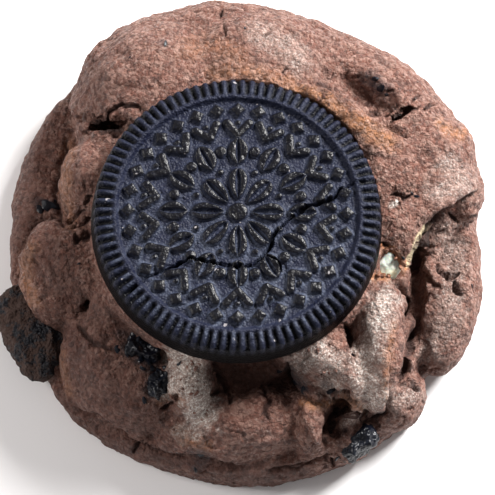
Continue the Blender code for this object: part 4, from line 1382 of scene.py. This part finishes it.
DOUGH_STROKES: Sequence[Stroke] = (
    # The recess at the upper right
    Stroke(((340, 92), (356, 102), (372, 113), (384, 122)), 1.4, -0.5, 1.2, 0.5),
    Stroke(((352, 76), (366, 84), (380, 90)), 1.6, 0.5, 1.2, 0.5),
    Stroke(((318, 84), (329, 87)), 0.7, -1.1, 2.0, 0.2),
    Stroke(((370, 111), (380, 113)), 0.6, -0.8, 1.6, 0.3),
    Stroke(((378, 99), (388, 102)), 1.1, 0.5, 1.2, 0.3),
    Stroke(((390, 122), (396, 118), (401, 112), (407, 110), (415, 110)), 0.6, -1.8, 2.0, 0.25),
    Stroke(((412, 101), (418, 96)), 0.5, -0.8, 2.0, 0.2),
    Stroke(((388, 92), (393, 90)), 0.5, -0.8, 2.0, 0.2),
    Stroke(((424, 109), (433, 104)), 0.5, -0.8, 2.0, 0.2),
    # The cavity at the upper left with its cracks
    Stroke(((98, 124), (105, 126), (114, 128)), 1.5, -2.0, 2.4, 0.4),
    # Painted shade in the cavity's hole
    Stroke(((96, 122), (105, 126), (118, 130)), 1.1, 1.0, 2.0, 0.4, Channel.DARK),
    Stroke(((109, 120), (108, 114), (116, 107), (120, 103), (127, 106), (134, 106), (140, 111)), 0.42, -1.2,
           2.4, 0.45),
    Stroke(((112, 118), (120, 114), (130, 116)), 2.2, 0.5, 1.0, 0.3),
    Stroke(((94, 126), (86, 132), (82, 134)), 0.5, -1.0, 2.0, 0.3),
    # The rough patch at the left of the wafer
    Stroke(((75, 233), (79, 238), (88, 234), (93, 231)), 0.9, -1.5, 1.8, 0.4),
    Stroke(((85, 206), (88, 198), (93, 196)), 0.5, -0.8, 1.8, 0.4),
    Stroke(((67, 222), (74, 217), (83, 211)), 0.5, -0.8, 1.6, 0.4),
    Stroke(((72, 226), (84, 223), (92, 218)), 0.5, -0.7, 1.6, 0.4),
    # Small holes
    Stroke(((85, 306),), 1.0, -2.4, 2.6, 0.05),
    Stroke(((219, 18), (223, 9)), 0.6, -0.9, 1.5, 0.2),
    Stroke(((163, 409), (170, 405)), 0.7, -1.2, 1.8, 0.2),
    Stroke(((175, 398),), 0.75, -1.3, 2.0, 0.1),
    Stroke(((383, 243), (387, 246)), 0.8, -1.3, 1.6, 0.2),
    Stroke(((331, 459), (334, 465)), 0.8, -1.1, 1.6, 0.2),
    # Cracks on the flap and in the skirt at the right
    Stroke(((390, 195), (396, 194), (404, 199), (412, 196)), 0.5, -0.9, 2.0, 0.2),
    Stroke(((448, 213), (455, 218)), 0.5, -0.9, 2.0, 0.2),
    Stroke(((468, 212), (474, 215), (482, 218)), 0.5, -0.9, 2.0, 0.2),
    Stroke(((436, 266), (441, 271), (449, 276), (458, 273)), 0.55, -1.2, 2.0, 0.2),
    Stroke(((455, 280), (457, 288), (462, 295)), 0.7, -1.2, 2.0, 0.2),
    Stroke(((423, 270), (428, 280), (440, 287)), 0.6, -0.7, 1.6, 0.4),
    Stroke(((408, 379), (415, 385), (421, 392)), 0.55, -0.9, 2.0, 0.3),
    # The sunk middle at the front
    Stroke(((217, 366), (218, 380)), 0.8, -1.6, 2.0, 0.2),
    Stroke(((211, 395), (219, 391), (228, 394)), 0.55, -1.1, 2.0, 0.2),
    Stroke(((262, 384), (265, 395), (270, 402), (264, 412), (270, 420)), 0.45, -0.8, 2.0, 0.45),
    Stroke(((249, 402), (256, 404)), 0.4, -0.6, 2.0, 0.3),
    Stroke(((299, 414), (306, 415)), 0.4, -0.7, 2.0, 0.3),
    # The gaps round the lobe under the wafer's lower right edge
    Stroke(((345, 325), (349, 338), (351, 347)), 0.7, -1.2, 1.6, 0.2),
    Stroke(((334, 394), (346, 399)), 1.1, -1.4, 1.6, 0.3),
    Stroke(((352, 353), (356, 356)), 0.5, -0.7, 1.6, 0.2),
    # The lump in the cave
    Stroke(((340, 426), (350, 416)), 2.0, 2.4, 1.3, 0.3),
    Stroke(((331, 432), (330, 420), (336, 408), (347, 401), (357, 402)), 0.9, -1.2, 1.4, 0.3),
    # The crevice at the right, and the hollow under the flap
    Stroke(((413, 322), (410, 345), (404, 368), (399, 382)), 0.8, -0.9, 1.4, 0.3),
    Stroke(((436, 216), (426, 230), (419, 246), (413, 268)), 1.0, -1.2, 1.4, 0.2),
    Stroke(((466, 212), (450, 224), (438, 244), (430, 270)), 1.8, 1.1, 1.2, 0.3),
    Stroke(((414, 300), (409, 325)), 1.6, 0.8, 1.2, 0.3),
    Stroke(((372, 416), (384, 413)), 0.9, -1.1, 1.6, 0.2),
    # Folds over the lobe at the left
    Stroke(((80, 328), (96, 345), (107, 347), (118, 350)), 0.6, -0.8, 1.6, 0.4),
    Stroke(((90, 322), (104, 336)), 2.4, 0.4, 1.0, 0.3),
    Stroke(((139, 441), (134, 452)), 0.6, -0.9, 1.6, 0.2),
    Stroke(((85, 190), (83, 182)), 0.4, -0.6, 2.0, 0.2),
    # Small cracks over the top
    Stroke(((265, 36), (271, 31)), 0.45, -0.7, 2.0, 0.2),
    Stroke(((283, 72), (288, 67)), 0.45, -0.7, 2.0, 0.2),
    Stroke(((223, 24), (226, 36)), 0.45, -0.6, 2.0, 0.2),
    # Paint: toasted places; along the left rims the toast is also painted highlight
    Stroke(((290, 89), (308, 94), (326, 102), (345, 116), (366, 128), (388, 142)), 2.7, 0.95, 1.0, 0.6,
           Channel.TOAST_AND_HIGHLIGHT),
    Stroke(((215, 74), (250, 72), (285, 82)), 2.6, 0.5, 1.0, 0.8, Channel.TOAST_AND_HIGHLIGHT),
    Stroke(((190, 50), (215, 45), (240, 60)), 3.4, 0.3, 1.0, 0.8, Channel.TOAST_AND_HIGHLIGHT),
    # Toast with painted highlight along the lit left rims
    Stroke(((31, 248), (26, 265), (27, 285), (34, 302)), 1.9, 0.6, 1.0, 0.6, Channel.TOAST_AND_HIGHLIGHT),
    Stroke(((70, 144), (66, 160), (65, 180), (68, 205), (72, 225)), 1.9, 0.55, 1.0, 0.6, Channel.TOAST_AND_HIGHLIGHT),
    Stroke(((375, 276), (386, 277)), 1.2, 1.0, 1.4, 0.3, Channel.TOAST_AND_HIGHLIGHT),
    Stroke(((388, 250), (398, 258), (405, 268)), 1.5, 1.0, 1.2, 0.4, Channel.TOAST_AND_HIGHLIGHT),
    Stroke(((303, 402), (312, 406), (328, 404)), 1.1, 0.95, 1.2, 0.4, Channel.TOAST_AND_HIGHLIGHT),
    Stroke(((336, 400), (350, 402), (362, 408)), 1.5, 0.85, 1.2, 0.4, Channel.TOAST_AND_HIGHLIGHT),
    Stroke(((393, 325), (388, 360), (384, 400)), 1.3, 0.5, 1.0, 0.4, Channel.TOAST_AND_HIGHLIGHT),
    Stroke(((160, 398), (172, 392), (182, 400)), 1.8, 0.55, 1.0, 0.6, Channel.TOAST_AND_HIGHLIGHT),
    Stroke(((178, 430), (190, 440), (205, 445)), 2.0, 0.55, 1.0, 0.6, Channel.TOAST_AND_HIGHLIGHT),
    Stroke(((438, 122), (452, 133), (465, 134)), 1.6, 0.7, 1.0, 0.5, Channel.TOAST_AND_HIGHLIGHT),
    Stroke(((62, 352), (64, 375), (70, 395)), 1.2, 0.5, 1.0, 0.4, Channel.TOAST_AND_HIGHLIGHT),
    # Paint: pale crumbly places, and painted light with highlights on the lit lobes at the right
    Stroke(((182, 356), (195, 385), (200, 415)), 3.8, 1.0, 1.3, 0.9, Channel.PALE_AND_LIT),
    Stroke(((168, 388), (182, 372)), 2.6, 0.8, 1.3, 0.8, Channel.PALE_AND_LIT),
    Stroke(((178, 430), (200, 432)), 2.2, 0.45, 1.2, 1.0, Channel.PALE_AND_LIT),
    # Painted light and highlights on the lit lobes at the lower right and on the right skirt
    Stroke(((300, 365), (320, 350), (335, 368), (330, 385)), 3.4, 0.6, 1.0, 1.2, Channel.PALE_AND_LIT),
    Stroke(((385, 300), (375, 320), (368, 345), (362, 375), (375, 400)), 3.8, 0.7, 1.0, 1.2, Channel.PALE_AND_LIT),
    Stroke(((445, 230), (455, 260), (450, 310), (430, 350)), 3.6, 0.25, 1.0, 1.2, Channel.PALE_AND_LIT),
    Stroke(((395, 400), (412, 395)), 2.8, 0.3, 1.0, 1.0, Channel.PALE_AND_LIT),
    Stroke(((345, 424), (356, 416)), 1.6, 0.5, 1.0, 0.5, Channel.PALE_AND_LIT),
    Stroke(((260, 35), (285, 45), (300, 62)), 3.6, 0.25, 1.0, 0.9, Channel.PALE_AND_LIT),
    # Painted highlight on the flap's right part
    Stroke(((450, 165), (465, 185), (440, 190)), 3.4, 0.3, 1.0, 0.9, Channel.PALE_AND_LIT),
    Stroke(((395, 203),), 1.0, 1.0, 1.6, 0.3, Channel.PALE_AND_LIT),
    # Paint: painted shade under the wafer, at the front and in hollows; darker dough and painted shade at the
    # left
    Stroke(((222, 370), (250, 382), (285, 378)), 5.0, 0.6, 1.0, 0.8, Channel.DARK),
    Stroke(((45, 130), (30, 180), (22, 240)), 5.5, 0.35, 1.0, 1.0, Channel.DARK),
    Stroke(((60, 340), (85, 375), (120, 410), (160, 425)), 8.0, 0.42, 1.2, 1.0, Channel.DARK),
    Stroke(((45, 250), (65, 290), (100, 320), (140, 345)), 5.5, 0.40, 1.2, 1.0, Channel.DARK),
    Stroke(((60, 400), (110, 440), (180, 462), (250, 476), (300, 470)), 3.4, 0.5, 1.2, 0.6, Channel.DARK),
    Stroke(((230, 425), (260, 440), (290, 440)), 5.0, 0.18, 1.0, 1.0, Channel.DARK),
    Stroke(((75, 150), (78, 190), (80, 220)), 4.0, 0.25, 1.0, 1.0, Channel.DARK),
    Stroke(((90, 80), (110, 105)), 6.0, 0.15, 1.0, 1.0, Channel.DARK),
    Stroke(((125, 345), (146, 362), (158, 378), (148, 392)), 1.6, 0.75, 1.2, 0.8, Channel.DARK),
    Stroke(((207, 365), (212, 385), (222, 402)), 1.6, 0.45, 1.0, 0.5, Channel.DARK),
    Stroke(((436, 218), (424, 240), (416, 275), (412, 320)), 2.2, 0.3, 1.0, 0.6, Channel.DARK),
    Stroke(((320, 84), (330, 92), (345, 103)), 1.4, 0.4, 1.0, 0.6, Channel.DARK),
    Stroke(((435, 218), (428, 228), (423, 240), (418, 252), (411, 266)), 0.75, 0.9, 1.4, 0.3, Channel.DARK),
    Stroke(((250, 410), (280, 425)), 3.5, 0.2, 1.0, 1.0, Channel.DARK),
    # Paint: blue-black smudges of crushed biscuit
    Stroke(((366, 80), (376, 84), (384, 91)), 2.3, 0.75, 1.0, 0.9, Channel.SMUDGE),
    Stroke(((40, 203), (50, 206)), 1.9, 0.8, 1.0, 0.8, Channel.SMUDGE),
    Stroke(((127, 345), (140, 356), (152, 364), (160, 374), (150, 388)), 1.7, 0.95, 1.1, 1.0, Channel.SMUDGE),
    Stroke(((118, 332), (134, 336)), 1.2, 0.6, 1.0, 0.8, Channel.SMUDGE),
    Stroke(((288, 368), (296, 380), (306, 390)), 1.2, 0.9, 1.1, 0.6, Channel.SMUDGE),
    Stroke(((326, 384), (334, 392)), 1.1, 0.7, 1.0, 0.6, Channel.SMUDGE),
    Stroke(((190, 452), (206, 458), (196, 468)), 1.7, 0.6, 1.0, 0.9, Channel.SMUDGE),
    Stroke(((160, 42), (168, 44)), 1.3, 0.35, 1.0, 0.8, Channel.SMUDGE),
    Stroke(((404, 202), (412, 206)), 0.8, 0.4, 1.0, 0.6, Channel.SMUDGE),
    Stroke(((346, 432), (356, 438)), 1.4, 0.6, 1.0, 0.8, Channel.SMUDGE),
    Stroke(((30, 150), (24, 180)), 2.2, 0.25, 1.0, 1.0, Channel.SMUDGE),
    # Paint: the cream along the flap's right edge
    Stroke(((424, 226), (418, 240), (413, 252), (407, 266)), 0.55, 0.95, 1.6, 0.25, Channel.CREAM),
)


class Chip(NamedTuple):
    """A small chip or crumb that sits where a pixel of the photograph shows the surface."""

    pixel: Plan
    size: float


DARK_CHIPS: Sequence[Chip] = (
    Chip((47, 206), 2.1), Chip((40, 208), 1.0), Chip((55, 202), 0.9), Chip((374, 80), 0.9),
    Chip((381, 89), 0.7), Chip((387, 94), 0.5), Chip((132, 335), 0.8), Chip((116, 348), 0.8),
    Chip((127, 354), 0.9), Chip((141, 359), 1.1), Chip((150, 361), 1.2), Chip((152, 369), 1.1),
    Chip((142, 368), 0.7),
    Chip((164, 369), 0.9), Chip((158, 377), 1.0), Chip((149, 388), 1.1), Chip((144, 400), 0.8),
    Chip((179, 363), 0.6), Chip((201, 455), 0.9), Chip((195, 470), 0.6), Chip((296, 383), 0.9),
    Chip((303, 390), 0.7), Chip((280, 372), 0.6), Chip((345, 328), 0.9), Chip((353, 355), 0.45),
    Chip((332, 391), 0.9), Chip((338, 458), 0.7), Chip((417, 197), 0.7), Chip((412, 193), 0.45),
    Chip((78, 264), 0.5), Chip((165, 43), 0.7), Chip((245, 28), 0.5), Chip((130, 57), 0.45),
    Chip((370, 43), 0.5), Chip((394, 255), 0.5), Chip((403, 258), 0.45), Chip((472, 286), 0.4),
)

TOASTED_CRUMBS: Sequence[Chip] = (
    Chip((397, 258), 0.5), Chip((402, 266), 0.55), Chip((386, 250), 0.5), Chip((376, 275), 0.6),
    Chip((382, 276), 0.6), Chip((388, 277), 0.45), Chip((391, 256), 0.45), Chip((381, 246), 0.45),
)


class CrumbPatch(NamedTuple):
    """A patch of loose dough crumbs: its middle, its spread in pixels and how many lie there."""

    pixel: Plan
    spread: float
    count: int


CRUMB_PATCHES: Sequence[CrumbPatch] = (
    CrumbPatch((84, 232), 8.0, 16), CrumbPatch((84, 205), 8.0, 14), CrumbPatch((120, 114), 9.0, 12),
    CrumbPatch((98, 137), 7.0, 9), CrumbPatch((190, 400), 16.0, 34), CrumbPatch((190, 370), 10.0, 16),
    CrumbPatch((398, 235), 11.0, 18), CrumbPatch((398, 200), 9.0, 12), CrumbPatch((330, 80), 12.0, 12),
    CrumbPatch((408, 104), 12.0, 14), CrumbPatch((330, 360), 16.0, 20), CrumbPatch((410, 400), 12.0, 12),
)


@dataclass
class LooseBits:
    """Small chips or crumbs of one kind, joined into one piece and half sunk in the surface."""

    name: str
    slot: str
    flatness: float
    sunk: float
    seed: int
    facet_count: int = 5
    facet_depth: float = 0.35
    smooth_below: float = 35.0

    def build(self, chips: Sequence[Chip], surface: BVHTree, view: PhotoView,
              material: bpy.types.Material) -> bpy.types.Object:
        """Drop the bits on the surface along the camera's sight lines.

        Args:
            chips: The bits' pixels and half sizes.
            surface: The surface they lie on, in metres.
            view: The photograph's view.
            material: The bits' material.

        Returns:
            The joined bits.
        """
        draw = random.Random(self.seed)
        pieces = []
        for chip in chips:
            start, direction = view.ray(chip.pixel)
            spot, normal, _, _ = surface.ray_cast(start * MM, direction)
            if spot is None:
                continue
            pieces.append(self.add_bit(draw, spot - normal * chip.size * self.sunk * MM, normal, chip.size))
        bits = Bench.join(pieces, self.name)
        Bench.finish(bits, material, self.slot)
        Bench.pick(bits)
        bpy.ops.object.shade_smooth_by_angle(angle=math.radians(self.smooth_below))
        return bits

    def add_bit(self, draw: random.Random, place: Vector, normal: Vector, size: float) -> bpy.types.Object:
        """Make one craggy bit that lies along the surface."""
        Bench.clear()
        bpy.ops.mesh.primitive_ico_sphere_add(subdivisions=2, radius=size * MM)
        bit = bpy.context.object
        facets = [Vector((draw.gauss(0, 1), draw.gauss(0, 1), draw.gauss(0, 1))).normalized()
                  for _ in range(self.facet_count)]
        for vert in bit.data.vertices:
            direction = vert.co.normalized()
            flat = max(direction.dot(facet) for facet in facets)
            vert.co *= draw.uniform(0.86, 1.1) * (1.0 - self.facet_depth * max(flat, 0.0) ** 3)
        stretch = Matrix.Diagonal((draw.uniform(0.8, 1.5), draw.uniform(0.6, 1.0), self.flatness, 1.0))
        turn = Matrix.Rotation(draw.uniform(0.0, math.tau), 4, "Z")
        aim = normal.to_track_quat("Z", "Y").to_matrix().to_4x4()
        bit.data.transform(Matrix.Translation(place) @ aim @ turn @ stretch)
        return bit


def scattered_crumbs(patches: Sequence[CrumbPatch], seed: int) -> list[Chip]:
    """Spread loose crumbs over their patches."""
    draw = random.Random(seed)
    crumbs = []
    for patch in patches:
        for _ in range(patch.count):
            pixel = (draw.gauss(patch.pixel[0], patch.spread), draw.gauss(patch.pixel[1], patch.spread))
            crumbs.append(Chip(pixel, draw.uniform(0.16, 0.42)))
    return crumbs


@dataclass
class Stage:
    """The pale floor, the soft studio light and the camera at the photograph's angle."""

    floor_side: float = 1600.0
    floor_colour: Colour = (0.86, 0.86, 0.87)
    floor_roughness: float = 0.9
    world_colour: Colour = (1.0, 0.95, 0.94)
    world_strength: float = 0.3
    key_place: tuple[float, float, float] = (290.0, 250.0, 290.0)
    key_size: float = 170.0
    key_power: float = 7.6
    key_colour: Colour = (1.0, 0.98, 0.96)
    fill_place: tuple[float, float, float] = (-330.0, 40.0, 230.0)
    fill_size: float = 130.0
    fill_power: float = 1.0
    fill_colour: Colour = (1.0, 0.95, 0.92)
    aim_height: float = 12.0

    def build(self, view: PhotoView) -> None:
        """Set up floor, light and camera.

        Args:
            view: The photograph's view.
        """
        self.add_floor()
        self.add_light("key", self.key_place, self.key_size, self.key_power, self.key_colour)
        self.add_light("fill", self.fill_place, self.fill_size, self.fill_power, self.fill_colour)
        world = bpy.data.worlds.new("soft_room")
        world.use_nodes = True
        background = world.node_tree.nodes["Background"]
        background.inputs["Color"].default_value = (*self.world_colour, 1.0)
        background.inputs["Strength"].default_value = self.world_strength
        bpy.context.scene.world = world
        bpy.context.scene.view_settings.view_transform = "Standard"
        self.add_camera(view)

    def add_floor(self) -> None:
        """Lay the pale floor."""
        Bench.clear()
        bpy.ops.mesh.primitive_plane_add(size=self.floor_side * MM, location=(0.0, 0.0, 0.0))
        floor = bpy.context.object
        floor.name = "floor"
        material = bpy.data.materials.new("floor")
        material.use_nodes = True
        shader = material.node_tree.nodes["Principled BSDF"]
        shader.inputs["Base Color"].default_value = (*self.floor_colour, 1.0)
        shader.inputs["Roughness"].default_value = self.floor_roughness
        floor.data.materials.append(material)

    def add_light(self, name: str, place: tuple[float, float, float], size: float, power: float,
                  colour: Colour) -> None:
        """Hang one square light that faces the cookie, its place and size in millimetres."""
        data = bpy.data.lights.new(name, "AREA")
        data.energy = power
        data.size = size * MM
        data.color = colour
        light = bpy.data.objects.new(name, data)
        light.location = Vector(place) * MM
        aim = Vector((0, 0, self.aim_height * MM)) - light.location
        light.rotation_euler = aim.to_track_quat("-Z", "Y").to_euler()
        bpy.context.scene.collection.objects.link(light)

    @staticmethod
    def add_camera(view: PhotoView) -> None:
        """Set the camera at the photograph's angle."""
        data = bpy.data.cameras.new("photo_camera")
        data.lens = view.lens
        data.sensor_width = view.sensor
        camera = bpy.data.objects.new("photo_camera", data)
        camera.location = view.place * MM
        camera.rotation_euler = (math.radians(90.0 - view.elevation), 0.0, 0.0)
        bpy.context.scene.collection.objects.link(camera)
        bpy.context.scene.camera = camera


FILLING = PieceSketch("white_filling", Lobe(25.7, -1.9, 16.0, 6.2, 2.5, 2.5, 59.0), 3)
BISCUITS = (
    PieceSketch("biscuit_piece_left", Lobe(-36.2, -13.4, 4.6, 5.4, 8.6, 4.2, 25.0), 5),
    PieceSketch("biscuit_piece_front", Lobe(18.9, -33.0, 6.8, 3.6, 2.3, 2.9, 35.0), 8),
    PieceSketch("biscuit_piece_inner", Lobe(-16.9, -19.0, 15.0, 3.2, 1.6, 2.6, -20.0), 11),
    PieceSketch("biscuit_piece_outer", Lobe(-14.3, -24.4, 13.8, 1.8, 2.5, 2.6, -35.0), 14),
)


def crumb_finish(toasted: bool = False) -> bpy.types.Material:
    """Give the loose crumbs' material: the dough's, or its toasted kind."""
    if toasted:
        return DoughFinish(name="toasted_crumb", plain=(0.34, 0.14, 0.05), ruddy=(0.24, 0.08, 0.03)).build()
    return DoughFinish(name="dough_crumb", plain=(0.22, 0.11, 0.08)).build()


def sketch_shift() -> Vector:
    """Give the step from the sketch's frame to the CAD frame, from the left piece's place in both."""
    blank = BrokenPiece(BISCUITS[0], "biscuit").blank()
    low = Vector(Bench.points(blank).min(axis=0))
    bpy.data.objects.remove(blank, do_unlink=True)
    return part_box(BISCUITS[0].node)[0] / MM - low


def main() -> None:
    """Load the frame, then build the cookie's pieces in order."""
    logging.basicConfig(level=logging.INFO, format="%(message)s")
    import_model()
    shift = sketch_shift()
    log.info("shift %s", tuple(round(value, 3) for value in shift))
    view = PhotoView(shift)
    Stage().build(view)
    wafer = Wafer()
    dough_finish = DoughFinish().build()
    dough = Dough().build(view, wafer, shift, dough_finish)
    surface = BVHTree.FromObject(dough, bpy.context.evaluated_depsgraph_get())
    wafer.build(shift, WaferFinish().build())
    BrokenPiece(FILLING, "filling", craggy=0.16).build(shift, FillingFinish().build())
    biscuit = BiscuitFinish(bump_depth=0.6).build()
    glossy = BiscuitFinish(name="glossy_biscuit", dough_share=0.15, roughness=0.3, grain=0.9,
                           bump_depth=0.2, bloom=(0.012, 0.017, 0.026)).build()
    BrokenPiece(BISCUITS[0], "biscuit", craggy=0.45, crag_size=3.2).build(shift, biscuit)
    BrokenPiece(BISCUITS[1], "biscuit", craggy=0.55, crag_size=3.2).build(shift, glossy)
    for sketch in BISCUITS[2:]:
        BrokenPiece(sketch, "biscuit", craggy=0.75, crag_size=2.8).build(shift, glossy)
    LooseBits("dark_chips", "biscuit", 0.7, 0.35, 7).build(DARK_CHIPS, surface, view, glossy)
    LooseBits("dough_crumbs", "dough", 0.9, 0.2, 9).build(scattered_crumbs(CRUMB_PATCHES, 4), surface, view,
                                                         crumb_finish())
    LooseBits("toasted_crumbs", "dough", 0.9, -0.6, 5).build(TOASTED_CRUMBS, surface, view,
                                                            crumb_finish(toasted=True))


if __name__ == "__main__":
    main()
